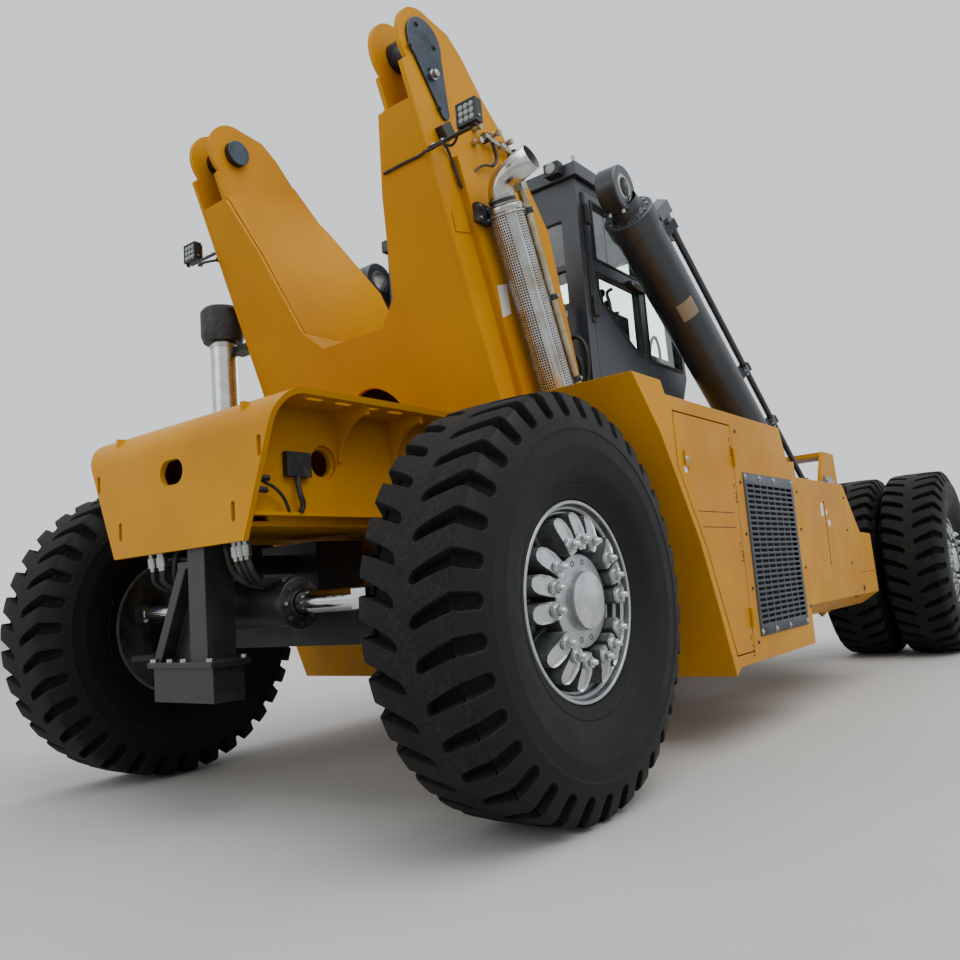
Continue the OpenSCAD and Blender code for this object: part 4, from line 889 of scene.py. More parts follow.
def liftRod(side):
    name = sideName(side)
    place = liftFrame(side)
    end = lift["length"]
    bm = bmesh.new()
    addRod(bm, (0, 0, 0.32), (0, 0, end - 0.145), lift["rodRadius"], 48, 0)
    addLathe(bm, (0, 0, 0), (0, 0, 1), [(end - 0.158, 0.1005), (end - 0.156, 0.103), (end - 0.10, 0.103),
                                        (end - 0.08, 0.098)], 48, 1)
    half = lift["eyeWidth"] / 2
    profile = [(-half, 0.085), (-half, 0.132), (-half + 0.008, lift["eyeRadius"]),
               (half - 0.008, lift["eyeRadius"]), (half, 0.132), (half, 0.085)]
    addLathe(bm, (0, 0, end), (0, 1, 0), profile, 64, 1)
    bearing = [(-half, 0.085), (-half + 0.004, 0.084), (-half + 0.004, 0.074), (-half, 0.073), (-half, 0.062),
               (-half + 0.006, lift["bore"]), (half - 0.006, lift["bore"]), (half, 0.062), (half, 0.073),
               (half - 0.004, 0.074), (half - 0.004, 0.084), (half, 0.085)]
    addLathe(bm, (0, 0, end), (0, 1, 0), bearing, 64, 2)
    for bolt in (-0.045, 0.045):  # clamp bolts of the eye, and the grease nipple
        addRod(bm, (-0.118, bolt, end - 0.075), (-0.135, bolt, end - 0.09), 0.013, 6, 2)
    addRod(bm, (0.10, 0, end + 0.085), (0.115, 0, end + 0.098), 0.006, 8, 2)
    bmesh.ops.transform(bm, matrix=place, verts=bm.verts)
    piece = newPiece("liftRod" + name, "lift_rod_" + name.lower(), bm, [chromeRod, cylinderGrey, zincSteel], sharp=40)
    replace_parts(piece, "lift_rod_" + name.lower())


def liftBarrel(side):
    name = sideName(side)
    bm = bmesh.new()
    addLathe(bm, (0, 0, 0), (0, 0, 1), [(0.090, 0), (0.090, 0.146), (0.097, 0.154), (0.244, 0.154), (0.250, 0.150),
                                        (3.170, 0.150), (3.171, 0.158), (3.176, 0.162), (3.284, 0.162),
                                        (3.290, 0.156), (3.290, 0.106), (3.286, 0.101), (0.300, 0.101),
                                        (0.300, 0)], 64, 0)
    addLathe(bm, (0, 0, 0), (0, 1, 0), [(-0.154, 0.055), (-0.154, 0.114), (-0.148, 0.120), (0.148, 0.120),
                                        (0.154, 0.114), (0.154, 0.055), (-0.154, 0.055)], 64, 0)
    for number in range(12):
        angle = math.radians(number * 30 + 15)
        spot = Vector((math.cos(angle), math.sin(angle), 0)) * 0.130
        addRod(bm, spot + Vector((0, 0, 3.289)), spot + Vector((0, 0, 3.2975)), 0.010, 6, 1)
    turn = math.radians(lift["pipeTurn"]) * side
    out = Vector((math.cos(turn), math.sin(turn), 0))
    across = out.cross(Vector((0, 0, 1)))
    pipe = out * lift["pipeOff"]
    addRod(bm, pipe + Vector((0, 0, 0.30)), pipe + Vector((0, 0, 3.05)), 0.022, 32, 0)
    for z in (0.290, 1.065, 1.640, 2.960):
        arm = addBox(bm, (-0.10, -0.030, z), (0.10, 0.030, z + 0.070), 0, Matrix.Rotation(turn, 4, "Z"))
        bmesh.ops.translate(bm, verts=arm, vec=out * 0.163)
    block = addBox(bm, (-0.05, -0.045, 3.085), (0.05, 0.045, 3.175), 2, Matrix.Rotation(turn, 4, "Z"))
    bmesh.ops.translate(bm, verts=block, vec=pipe * 0.93)
    addRod(bm, pipe + Vector((0, 0, 3.02)), pipe + Vector((0, 0, 3.09)), 0.031, 6, 2)
    for z in (1.675, 1.10):  # pipe clamps and their screws
        addLathe(bm, pipe + Vector((0, 0, z - 0.035)), (0, 0, 1), [(0, 0.022), (0, 0.031), (0.07, 0.031),
                                                                   (0.07, 0.022)], 32, 2)
        for offset in (-0.02, 0.02):
            spot = pipe * 0.86 + Vector((0, 0, z + offset))
            addRod(bm, spot + across * 0.03, spot + across * 0.046, 0.009, 6, 1)
    rows = []
    for degrees in range(-24, 25, 8):  # blank label that follows the barrel
        angle = math.radians(180 + degrees + 43 * -side)
        rows.append([bm.verts.new((0.1512 * math.cos(angle), 0.1512 * math.sin(angle), z)) for z in (2.47, 2.61)])
    for (a, b), (c, d) in zip(rows, rows[1:]):
        bm.faces.new((a, c, d, b)).material_index = 3
    bmesh.ops.transform(bm, matrix=liftFrame(side), verts=bm.verts)
    piece = newPiece("liftBarrel" + name, "lift_barrel_" + name.lower(), bm,
                     [cylinderGrey, zincSteel, greyPlastic, tanVinyl], sharp=35)
    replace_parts(piece, "lift_barrel_" + name.lower())


for side in (1, -1):
    liftRod(side)
    liftBarrel(side)
print("lift cylinders dressed")


# Side panels: latch, hinge slots, pressed creases, screws, level slot and blank labels

sideMarks = {
    "face": 1.600, "latch": (-2.050, 1.434),
    "hingeSlots": [(-1.466, 1.493, 1.593), (-1.462, 1.244, 1.345), (-1.466, 0.931, 1.036), (-1.462, 0.440, 0.552)],
    "creases": [(-1.965, -1.500, 1.188), (-1.928, -1.495, 1.111)],
    "screws": [(-1.366, z) for z in (1.640, 1.360, 1.079, 0.790, 0.506)] +
              [(x, z) for x in (-0.418, 0.657) for z in (1.346, 1.112, 0.874, 0.635)],
    "levelSlot": (0.147, 0.886, 1.300), "fold": (0.850, 1.297, 0.800), "drainHole": (0.916, 0.682),
    "plug": (0.42, 1.42),
    "labels": [(0.060, 1.204, 0.114, 1.290), (0.168, 1.215, 0.196, 1.246), (0.196, 1.137, 0.244, 1.178)],
}


def onSide(bm, side, x0, z0, x1, z1, proud, material=0):  # a thin patch lying on the side face
    near, far = sorted((side * (sideMarks["face"] - 0.002), side * (sideMarks["face"] + proud)))
    addBox(bm, (x0, near, z0), (x1, far, z1), material)


def doorDress(side):
    name = sideName(side)
    face = side * sideMarks["face"]
    bm = bmesh.new()
    x, z = sideMarks["latch"]
    onSide(bm, side, x - 0.024, z - 0.021, x + 0.024, z + 0.021, 0.003, 0)
    addLathe(bm, (x, face, z), (0, side, 0), [(0.003, 0.018), (0.010, 0.017), (0.013, 0.014), (0.013, 0.006),
                                              (0.008, 0.005), (0.008, 0)], 24, 0)
    onSide(bm, side, x - 0.026, z - 0.062, x + 0.006, z - 0.030, 0.0008, 2)
    # hinge slots are cut through the panel and drawn as flush black strips: painted shade in the slots
    for x, low, high in sideMarks["hingeSlots"]:
        onSide(bm, side, x + 0.017, low, x + 0.0215, low + (high - low) * 0.55, 0.0008, 1)
        for part in (0.04, 0.28, 0.50):
            at = low + (high - low) * part
            onSide(bm, side, x - 0.004, at, x + 0.017, at + 0.0045, 0.0008, 1)
        onSide(bm, side, x - 0.008, low + (high - low) * 0.78, x - 0.0035, high, 0.0008, 1)
        onSide(bm, side, x - 0.0035, high - 0.0045, x + 0.008, high, 0.0008, 1)
    # pressed creases drawn as thin black strips: painted shade in the creases
    for x0, x1, z in sideMarks["creases"]:
        onSide(bm, side, x0, z, x1, z + 0.0035, 0.0006, 1)
    newPiece("doorDress" + name, "side_door_" + name.lower(), bm, [zincSteel, shadowBlack, labelVinyl], sharp=40)


def sideDress(side):
    name = sideName(side)
    face = side * sideMarks["face"]
    bm = bmesh.new()
    for x, z in sideMarks["screws"]:
        addLathe(bm, (x, face, z), (0, side, 0), [(-0.002, 0.011), (0.001, 0.011), (0.001, 0.009), (0.005, 0.008),
                                                  (0.0065, 0.006), (0.0065, 0)], 12, 0)
    # level slot drawn as a flush black strip: painted shade in the slot
    x, low, high = sideMarks["levelSlot"]
    onSide(bm, side, x - 0.004, low, x + 0.004, high, 0.0008, 1)
    for z in (low, high):
        addLathe(bm, (x, face, z), (0, side, 0), [(-0.002, 0.009), (0.002, 0.009), (0.003, 0.007), (0.003, 0)], 16, 0)
    # fold line drawn as a thin black strip: painted shade in the fold
    x0, x1, z = sideMarks["fold"]
    onSide(bm, side, x0, z, x1, z + 0.0035, 0.0006, 1)
    # drain hole drawn in black: painted shade in the hole
    x, z = sideMarks["drainHole"]
    addLathe(bm, (x, face, z), (0, side, 0), [(-0.001, 0.024), (0.001, 0.024), (0.001, 0.017), (0.0005, 0.016),
                                              (0.0005, 0)], 20, 1)
    for x0, z0, x1, z1 in sideMarks["labels"]:
        onSide(bm, side, x0, z0, x1, z1, 0.0008, 2)
    x, y = sideMarks["plug"][0], side * sideMarks["plug"][1]  # flanged plug on the underside
    addLathe(bm, (x, y, 0.553), (0, 0, -1), [(-0.002, 0.055), (0.006, 0.055), (0.008, 0.052), (0.008, 0.026),
                                             (0.022, 0.026), (0.024, 0.023), (0.024, 0)], 32, 3)
    addRod(bm, (x, y, 0.530), (x, y, 0.516), 0.014, 6, 4)
    newPiece("sideDress" + name, "chassis", bm, [axleBlack, shadowBlack, labelVinyl, yellow, zincSteel], sharp=40)


for side in (1, -1):
    doorDress(side)
    sideDress(side)
print("side panels dressed")


# Towers: lamp wiring, plug, pipe with its unions, small box, bolts of the pin's keeper plate, blank label

def towerWiring():
    bm = bmesh.new()
    face = -0.842
    cable = [(-2.885, -1.04, 3.02), (-2.845, -0.96, 2.985), (-2.800, -0.872, 3.035), (-2.758, -0.856, 3.036),
             (-2.695, -0.856, 2.913), (-2.662, -0.856, 2.868), (-2.585, -0.860, 2.955), (-2.476, -0.862, 3.050),
             (-2.400, -0.865, 3.072)]
    addTube(bm, cable, 0.0065, 0, 4)
    addTube(bm, [(-2.880, -1.03, 3.005), (-2.893, -0.92, 2.985), (-2.900, -0.862, 2.976), (-2.908, -0.838, 2.972),
                 (-2.896, -0.80, 2.974), (-2.893, -0.69, 2.976), (-2.892, -0.55, 2.972)], 0.0075, 0, 4)
    addBox(bm, (-2.815, face - 0.046, 3.078), (-2.735, face - 0.001, 3.148), 1,
           Matrix.Rotation(math.radians(-35), 4, "Y"))
    addRod(bm, (-2.745, face - 0.022, 3.080), (-2.772, face - 0.022, 3.108), 0.012, 12, 1)
    addBox(bm, (-2.590, face - 0.052, 2.758), (-2.450, face - 0.001, 2.800), 1)
    addRod(bm, (-2.560, face - 0.052, 2.779), (-2.560, face - 0.060, 2.779), 0.009, 6, 2)
    addRod(bm, (-2.480, face - 0.052, 2.779), (-2.480, face - 0.060, 2.779), 0.009, 6, 2)
    addBox(bm, (-2.735, face - 0.003, 2.640), (-2.615, face, 2.735), 3, Matrix.Rotation(math.radians(-12), 4, "Y"))
    for start, end, radius, sides in (((-2.470, 3.212), (-2.425, 3.212), 0.020, 6),
                                      ((-2.425, 3.212), (-2.400, 3.212), 0.014, 16),
                                      ((-2.330, 3.212), (-2.290, 3.212), 0.021, 6),
                                      ((-2.400, 3.212), (-2.140, 3.205), 0.011, 16)):  # pipe with its unions
        addRod(bm, (start[0], face - 0.030, start[1]), (end[0], face - 0.030, end[1]), radius, sides, 2)
    addTube(bm, [(-2.400, -0.865, 3.072), (-2.370, -0.872, 3.110), (-2.380, -0.872, 3.180),
                 (-2.400, -0.872, 3.212)], 0.009, 0, 4)
    for x in (-2.44, -2.20):  # saddles that hold the pipe
        addBox(bm, (x - 0.012, face - 0.046, 3.190), (x + 0.012, face, 3.232), 1)
    addPlate(bm, [(-2.467, 2.405), (-2.382, 2.433), (-2.363, 2.279), (-2.439, 2.242)], -0.8812, -0.879, "y", 4)
    for x, z, reach in ((-2.520, 3.160, 0.040), (-2.505, 3.245, 0.030), (-2.360, 3.262, 0.050), (-2.250, 3.255, 0.045)):
        addRod(bm, (x, face, z), (x, face - reach * 0.5, z), 0.020, 6, 2)  # capped hydraulic unions
        addRod(bm, (x, face - reach * 0.5, z), (x, face - reach, z), 0.014, 16, 2)
        addRod(bm, (x, face - reach, z), (x, face - reach - 0.016, z), 0.018, 6, 2)
    keeper = -0.854  # bolts, grease fitting and scribed circle of the pin's keeper plate
    for x, z in ((-2.927, 3.612), (-2.983, 3.476), (-2.801, 3.549), (-2.845, 3.412), (-2.793, 3.235)):
        addLathe(bm, (x, keeper, z), (0, -1, 0), [(-0.001, 0.016), (0.002, 0.016), (0.003, 0.011)], 16, 1)
        addRod(bm, (x, keeper - 0.002, z), (x, keeper - 0.010, z), 0.010, 6, 1)
    addLathe(bm, (-2.833, keeper, 3.386), (0, -1, 0), [(-0.001, 0.026), (0.012, 0.026), (0.014, 0.018), (0.034, 0.018),
                                                       (0.037, 0.012), (0.037, 0)], 12, 2)
    for radius in (0.052, 0.078):
        addLathe(bm, (-2.894, keeper, 3.504), (0, -1, 0), [(-0.001, radius), (0.0006, radius + 0.0008),
                                                           (-0.001, radius + 0.0016)], 48, 1)
    newPiece("towerWiring", "chassis", bm, [hoseRubber, blackPlastic, zincSteel, yellow, labelVinyl], sharp=40)
    bm = bmesh.new()
    addTube(bm, [(-2.885, 1.04, 3.02), (-2.93, 0.92, 2.93), (-2.985, 0.856, 2.905), (-2.86, 0.856, 2.965),
                 (-2.720, 0.856, 3.045), (-2.557, 0.856, 3.130), (-2.440, 0.856, 3.020), (-2.335, 0.856, 2.863),
                 (-2.235, 0.856, 2.700), (-2.145, 0.856, 2.565)], 0.0075, 0, 4)
    for x, z in ((-2.86, 2.965), (-2.557, 3.128), (-2.335, 2.863)):
        addBox(bm, (x - 0.011, 0.840, z - 0.013), (x + 0.011, 0.866, z + 0.013), 1)
    newPiece("towerWiringLeft", "chassis", bm, [hoseRubber, blackPlastic], sharp=40)


towerWiring()
print("towers wired")


# Cab: gaskets, door seam, hinges, handle, lamp, mirror, consoles, wheel, levers and the seat

cab = {
    "side": 0.800, "floor": 1.810,
    "windows": [
        [(-1.245, 2.900), (-0.710, 2.900), (-0.710, 3.270), (-1.245, 3.270)],
        [(-1.245, 2.800), (-1.245, 2.700), (-1.210, 2.625), (-0.950, 2.460), (-0.760, 2.360), (-0.710, 2.360),
         (-0.710, 2.800)],
        [(-0.600, 2.350), (-0.100, 2.350), (-0.135, 3.270), (-0.600, 3.270)],
    ],
    "door": [(-1.335, 1.860), (-0.655, 1.860), (-0.655, 3.330), (-1.335, 3.330)],
}


def strip(bm, corners, place, width, proud, material):  # a flat band along a closed line on a cab side
    low, high = sorted((place, place + math.copysign(proud, place)))
    middle = Vector((sum(c[0] for c in corners) / len(corners), sum(c[1] for c in corners) / len(corners)))
    outer = [middle + (Vector(c) - middle) * (1 + width / (Vector(c) - middle).length) for c in corners]
    for i in range(len(corners)):
        j = (i + 1) % len(corners)
        addPlate(bm, [tuple(outer[i]), tuple(outer[j]), tuple(corners[j]), tuple(corners[i])], low, high, "y", material)


def cabSide(side):
    name = sideName(side)
    face = side * cab["side"]
    bm = bmesh.new()
    for corners in cab["windows"]:
        strip(bm, corners, face, 0.022, 0.006, 0)
    strip(bm, cab["door"], face, 0.006, 0.0008, 0)
    near, far = sorted((face, face + side * 0.010))
    addBox(bm, (-1.372, near, 2.46), (-1.338, far, 3.30), 0)
    for z in (2.50, 3.10):  # door hinges
        addRod(bm, (-1.352, face + side * 0.018, z), (-1.352, face + side * 0.018, z + 0.12), 0.014, 16, 0)
        near, far = sorted((face, face + side * 0.012))
        addBox(bm, (-1.350, near, z + 0.01), (-1.285, far, z + 0.11), 0)
    addPlate(bm, [(-0.860, 2.845), (-0.645, 2.835), (-0.630, 2.815), (-0.640, 2.800), (-0.800, 2.805), (-0.868, 2.825)],
             *sorted((face, face + side * 0.030)), "y", 0)  # door handle with its lock button
    addLathe(bm, (-0.825, face + side * 0.029, 2.828), (0, side, 0), [(0, 0.011), (0.003, 0.011), (0.004, 0.009),
                                                                     (0.004, 0)], 16, 1)
    near, far = sorted((side * 0.764, side * 0.770))
    addBox(bm, (-1.056, near, 2.90), (-1.042, far, 3.27), 0)
    addTube(bm, [(-0.985, side * 0.752, 2.775), (-0.975, side * 0.712, 2.765), (-0.945, side * 0.705, 2.700),
                 (-0.930, side * 0.712, 2.635), (-0.925, side * 0.752, 2.625)], 0.011, 2, 6)  # grab handle on the door
    newPiece("cabSide" + name, "chassis", bm, [hoseRubber, zincSteel, greyPlastic], sharp=35)


for side in (1, -1):
    cabSide(side)

bm = bmesh.new()
addBox(bm, (-1.05, -0.72, cab["floor"]), (-0.72, -0.52, 2.640), 0)  # side console by the door
addBox(bm, (-0.48, -0.748, cab["floor"]), (-0.20, -0.590, 2.420), 0)  # switch box in the front corner
addTube(bm, [(-0.430, -0.70, 2.415), (-0.330, -0.70, 2.580), (-0.300, -0.70, 2.590), (-0.260, -0.70, 2.560),
             (-0.235, -0.70, 2.415)], 0.011, 2, 6)
for x, y, tall in ((-0.90, -0.62, 0.15), (-0.80, -0.60, 0.10)):  # levers with knobs
    addRod(bm, (x, y, 2.64), (x + 0.02, y, 2.64 + tall), 0.008, 10, 2)
    addLathe(bm, (x + 0.02, y, 2.63 + tall), (0, 0, 1), [(0, 0.010), (0.010, 0.020), (0.035, 0.024), (0.052, 0.016),
                                                         (0.056, 0)], 20, 1)
newPiece("cabConsoles", "chassis", bm, [cabGrey, blackPlastic, greyPlastic], sharp=40, bevel=0.008)

bm = bmesh.new()  # dashboard, steering column and wheel with three spokes
addPlate(bm, [(-0.34, 2.02), (-0.14, 2.10), (-0.10, 2.34), (-0.20, 2.42), (-0.34, 2.36)], -0.42, 0.42, "y", 0)
hub = Vector((-0.50, 0.0, 2.475))
tilt = Matrix.Translation(hub) @ Matrix.Rotation(math.radians(-30), 4, "Y")
addRod(bm, (-0.40, 0, cab["floor"]), hub, 0.045, 20, 0, 0.030)
wheelPoints = [tilt @ Vector((0.19 * math.cos(math.tau * i / 24), 0.19 * math.sin(math.tau * i / 24), 0))
               for i in range(25)]
addTube(bm, wheelPoints, 0.015, 1, 6)
for degrees in (90, 210, 330):
    end = tilt @ Vector((0.185 * math.cos(math.radians(degrees)), 0.185 * math.sin(math.radians(degrees)), 0))
    addRod(bm, hub, end, 0.010, 8, 1)
newPiece("cabDash", "chassis", bm, [blackPlastic, hoseRubber], sharp=40)

bm = bmesh.new()  # roof lamp, mirror under the roof, lifting eye on the roof corner
addBox(bm, (-1.520, -0.745, 3.400), (-1.462, -0.640, 3.480), 0)
addLathe(bm, (-1.520, -0.692, 3.440), (-1, 0, 0), [(0, 0.034), (0.008, 0.034), (0.010, 0.030), (0.010, 0)], 24, 1)
addRod(bm, (-1.445, -0.815, 3.470), (-1.445, -0.815, 3.505), 0.012, 12, 2)
addRod(bm, (-0.72, -0.60, 3.38), (-0.72, -0.60, 3.18), 0.008, 10, 0)
mirrorPlate = bmesh.ops.create_uvsphere(bm, u_segments=24, v_segments=12, radius=0.5)["verts"]
bmesh.ops.transform(bm, matrix=Matrix.Translation((-0.72, -0.60, 3.12)) @ Matrix.Rotation(math.radians(25), 4, "Z") @
                    Matrix.Diagonal((0.028, 0.200, 0.150, 1)), verts=mirrorPlate)
setMaterial(mirrorPlate, 3)
newPiece("cabFittings", "chassis", bm, [blackPlastic, lampLens, zincSteel, greyPlastic], sharp=40)

bm = bmesh.new()  # seat pedestal, pan, back shell, armrests
for low, high in (((-1.08, -0.17, cab["floor"]), (-0.72, 0.17, 1.93)), ((-1.12, -0.20, 2.13), (-0.64, 0.20, 2.165)),
                  ((-1.235, -0.19, 2.30), (-1.205, 0.19, 2.93))):
    addBox(bm, low, high, 0)
for fold in range(5):  # bellows of the suspension
    z = 1.93 + fold * 0.04
    addPlate(bm, [(-1.06, z), (-0.74, z), (-0.71, z + 0.02), (-0.74, z + 0.04), (-1.06, z + 0.04), (-1.09, z + 0.02)],
             -0.16, 0.16, "y", 1)
for y in (-0.30, 0.30):
    addPlate(bm, [(-1.16, 2.49), (-0.82, 2.47), (-0.80, 2.50), (-0.82, 2.53), (-1.16, 2.55)],
             y - 0.035, y + 0.035, "y", 1)
    near, far = sorted((y, y * 0.7))
    addBox(bm, (-1.215, near, 2.47), (-1.175, far, 2.52), 1)
newPiece("seatFrame", "chassis", bm, [blackPlastic, hoseRubber], sharp=40, bevel=0.006)


def pad(name, size, turn, at):  # a crowned pad: sides pull in between the corners, seam round the middle
    size = Vector(size)
    bm = bmesh.new()
    bmesh.ops.create_cube(bm, size=1)
    bmesh.ops.subdivide_edges(bm, edges=bm.edges[:], cuts=11, use_grid_fill=True)
    for vert in bm.verts:
        x, y, z = (2 * c for c in vert.co)
        bulge = (1 - x ** 4) * (1 - y ** 4)
        pull = 1 - 0.045 * (1 - z * z) - 0.10 * z * z * (max(abs(x), abs(y)) > 0.99)
        seam = 0.88 if abs(abs(y) - 2 / 3) < 0.05 and abs(x) < 0.9 else 1.0
        vert.co = (x * size.x / 2 * pull, y * size.y / 2 * pull, z * size.z / 2 * (0.70 + 0.30 * bulge * seam))
    bmesh.ops.transform(bm, matrix=Matrix.Translation(at) @ Matrix.Rotation(math.radians(turn), 4, "Y"),
                        verts=bm.verts)
    piece = newPiece(name, "chassis", bm, seatCloth, sharp=70)
    swell = piece.modifiers.new("remesh", "REMESH")
    swell.mode = "VOXEL"
    swell.voxel_size = 0.006
    still = bpy.data.meshes.new_from_object(piece.evaluated_get(bpy.context.evaluated_depsgraph_get()))
    piece.modifiers.clear()
    piece.data = still
    rest = [v.co.copy() for v in still.vertices]
    cloth = piece.modifiers.new("cloth", "CLOTH")
    cloth.settings.use_pressure = True
    cloth.settings.uniform_pressure_force = 4
    cloth.settings.effector_weights.gravity = 0
    for number in range(1, 21):
        bpy.context.scene.frame_set(number)
    blown = bpy.data.meshes.new_from_object(piece.evaluated_get(bpy.context.evaluated_depsgraph_get()))
    piece.modifiers.clear()
    piece.data = blown
    for vert, start in zip(blown.vertices, rest):
        move = vert.co - start
        if move.length > 0.006:
            vert.co = start + move * (0.006 / move.length)
    bpy.context.scene.frame_set(1)
    for polygon in piece.data.polygons:
        polygon.use_smooth = True
    smooth = piece.modifiers.new("surface", "SUBSURF")
    smooth.levels = smooth.render_levels = 1
    return piece


pad("seatBack", (0.58, 0.44, 0.10), 84, (-1.155, 0, 2.62))
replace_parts(pad("seatCushion", (0.48, 0.48, 0.12), -4, (-0.88, 0, 2.225)), "cab_seat")
print("cab fitted out")


# Cooler housing behind the cab: fins, filler, brackets, blank label and hoses

bm = bmesh.new()
for step in range(9):
    z = 2.19 + step * 0.034
    addBox(bm, (-1.606, -0.735, z), (-1.598, -0.50, z + 0.012), 0)
addBox(bm, (-1.605, -0.752, 2.385), (-1.6025, -0.700, 2.445), 2)
for y, z in ((-0.745, 2.470), (-0.690, 2.470)):
    addBox(bm, (-1.618, y - 0.020, z - 0.018), (-1.600, y + 0.020, z + 0.018), 1)
    addRod(bm, (-1.618, y, z), (-1.628, y, z), 0.010, 6, 1)
addLathe(bm, (-1.49, -0.56, 2.585), (0, 0, 1), [(0, 0.040), (0.004, 0.054), (0.020, 0.056), (0.026, 0.050),
                                               (0.028, 0.018), (0.036, 0.016), (0.038, 0)], 24, 0)
addTube(bm, [(-1.56, -0.745, 2.33), (-1.575, -0.80, 2.325), (-1.575, -0.845, 2.27), (-1.565, -0.852, 2.18),
             (-1.56, -0.835, 2.06), (-1.56, -0.80, 1.92), (-1.55, -0.72, 1.79), (-1.54, -0.62, 1.757)], 0.013, 3, 5)
addTube(bm, [(-1.56, -0.745, 2.24), (-1.565, -0.79, 2.20), (-1.56, -0.80, 2.08), (-1.54, -0.74, 1.90),
             (-1.52, -0.60, 1.757)], 0.016, 3, 5)
newPiece("coolerDress", "chassis", bm, [blackPlastic, zincSteel, labelVinyl, hoseRubber], sharp=40)


# Air cleaner: bright sleeve and band clamps on its pipe

cleaner = {"place": (-2.73, 1.02, 0), "pipe": 0.075, "sleeve": 0.0025, "band": 0.006, "low": 1.97, "high": 2.505}
bm = bmesh.new()
for low, high, proud, finish in ((cleaner["low"], cleaner["high"], cleaner["sleeve"], 0),
                                 (cleaner["low"] + 0.010, cleaner["low"] + 0.024, cleaner["band"], 1),
                                 (cleaner["high"] - 0.030, cleaner["high"] - 0.016, cleaner["band"], 1)):
    inner, outer = cleaner["pipe"], cleaner["pipe"] + proud
    addLathe(bm, cleaner["place"], (0, 0, 1), [(low, inner), (low, outer), (high, outer), (high, inner)], 48, finish)
newPiece("cleanerSleeve", "chassis", bm, [stainless, zincSteel], sharp=40)


# Tail: wiring by the plate, couplings under it, hoses and glands of the steering cylinder, bolts of the support post

bm = bmesh.new()
addBox(bm, (-3.560, -0.512, 1.425), (-3.430, -0.482, 1.530), 0)  # plug box on the side web
addTube(bm, [(-3.500, -0.500, 1.430), (-3.505, -0.515, 1.360), (-3.490, -0.515, 1.300), (-3.500, -0.510, 1.275)],
        0.012, 1, 5)
addTube(bm, [(-3.745, -0.560, 1.400), (-3.700, -0.540, 1.385), (-3.640, -0.520, 1.370), (-3.590, -0.515, 1.330),
             (-3.560, -0.510, 1.276)], 0.007, 1, 4)
for y, z in ((-0.560, 1.400), (-0.545, 1.355)):
    addRod(bm, (-3.748, y, z), (-3.700, y, z), 0.013, 10, 0)
couplings = [(-3.70, 0.30), (-3.69, 0.25), (-3.71, 0.20), (-3.69, -0.30), (-3.70, -0.35), (-3.71, -0.40)]
for number, (x, y) in enumerate(couplings):
    addRod(bm, (x, y, 1.215), (x + 0.01, y, 1.150), 0.015, 6, 2)
    addRod(bm, (x + 0.01, y, 1.150), (x + 0.014, y, 1.105), 0.020, 16, 2)
    addRod(bm, (x + 0.014, y, 1.105), (x + 0.016, y, 1.090), 0.014, 6, 2)
    reach = 0.10 if number < 3 else -0.12
    addTube(bm, [(x + 0.016, y, 1.092), (x + 0.03, y + reach * 0.1, 1.04), (x + 0.12, y - reach * 0.3, 0.995),
                 (x + 0.235, y - reach * 0.6, 1.005)], 0.011, 1, 5)
addTube(bm, [(-3.66, -0.215, 1.218), (-3.66, -0.225, 1.11), (-3.62, -0.24, 1.02), (-3.54, -0.27, 0.985),
             (-3.47, -0.28, 0.988)], 0.014, 1, 5)
addTube(bm, [(-3.66, 0.12, 1.218), (-3.67, 0.15, 1.10), (-3.63, 0.20, 1.02), (-3.54, 0.26, 0.985),
             (-3.47, 0.28, 0.988)], 0.014, 1, 5)
cylinderX, cylinderZ = -3.42, 0.9
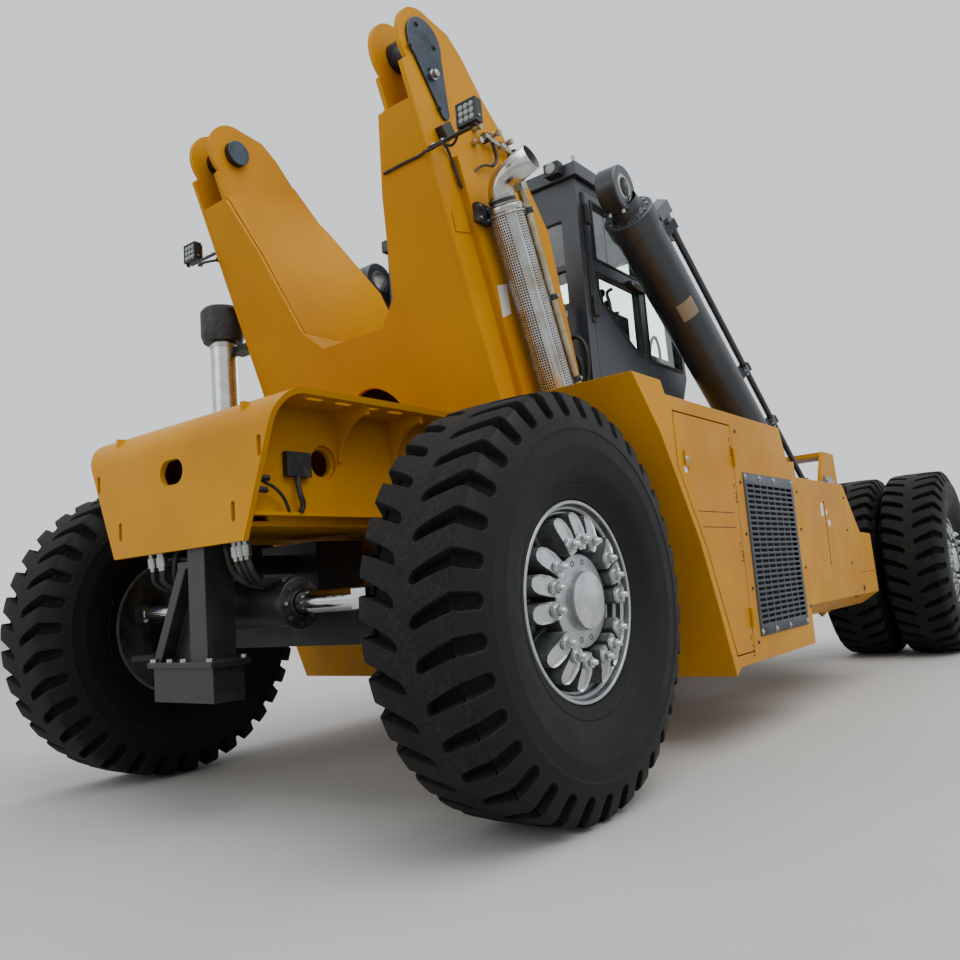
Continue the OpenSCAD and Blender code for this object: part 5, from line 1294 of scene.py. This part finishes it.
for side in (-1, 1):  # glands and pipe unions of the steering cylinder
    addLathe(bm, (cylinderX, side * 0.355, cylinderZ), (0, side, 0),
             [(0, 0.101), (0.002, 0.112), (0.030, 0.112), (0.034, 0.106), (0.036, 0.056), (0.040, 0.052),
              (0.048, 0.0515)], 48, 0)
    for number in range(8):
        angle = math.tau * number / 8
        spot = Vector((cylinderX + 0.088 * math.sin(angle), side * 0.389, cylinderZ + 0.088 * math.cos(angle)))
        addRod(bm, spot, spot + Vector((0, side * 0.010, 0)), 0.009, 6, 2)
    addLathe(bm, (cylinderX, side * 0.28, 0.985), (0, 0, 1), [(0, 0.026), (0.014, 0.026), (0.016, 0.020),
                                                             (0.030, 0.019)], 6, 2)
newPiece("tailDress", "chassis", bm, [blackPlastic, hoseRubber, zincSteel], sharp=40)

bm = bmesh.new()
for y in (-0.205, -0.02, 0.08, 0.205):
    for x in (-3.755, -3.592):
        addRod(bm, (x, y, 0.690), (x, y, 0.704), 0.014, 6, 0)
bossZ, boltRing = 1.086, 0.078
addRod(bm, (-3.582, 0, bossZ), (-3.590, 0, bossZ), 0.032, 24, 1)
for number in range(4):
    angle = math.tau * (number + 0.5) / 4
    y, z = boltRing * math.sin(angle), bossZ + boltRing * math.cos(angle)
    addRod(bm, (-3.5605, y, z), (-3.570, y, z), 0.009, 6, 0)
newPiece("postBolts", "chassis", bm, [zincSteel, axleBlack], sharp=40)
print("tail and cooler dressed")


# Front beam: valve with its unions and short hoses on a yellow bracket

bm = bmesh.new()
addBox(bm, (1.44, -1.30, 1.475), (1.66, -1.245, 1.56), 0)
for x in (1.47, 1.52, 1.57, 1.62):
    addRod(bm, (x, -1.272, 1.56), (x, -1.272, 1.595), 0.016, 6, 0)
    addRod(bm, (x, -1.300, 1.515), (x, -1.335, 1.515), 0.014, 6, 1)
addTube(bm, [(1.47, -1.335, 1.515), (1.46, -1.375, 1.50), (1.42, -1.38, 1.46), (1.40, -1.36, 1.40)], 0.012, 2, 5)
addTube(bm, [(1.62, -1.335, 1.515), (1.65, -1.375, 1.50), (1.68, -1.36, 1.44), (1.67, -1.32, 1.38)], 0.012, 2, 5)
newPiece("frontValve", "chassis", bm, [zincSteel, brassPipe, hoseRubber], sharp=40)
print("front valve fitted")
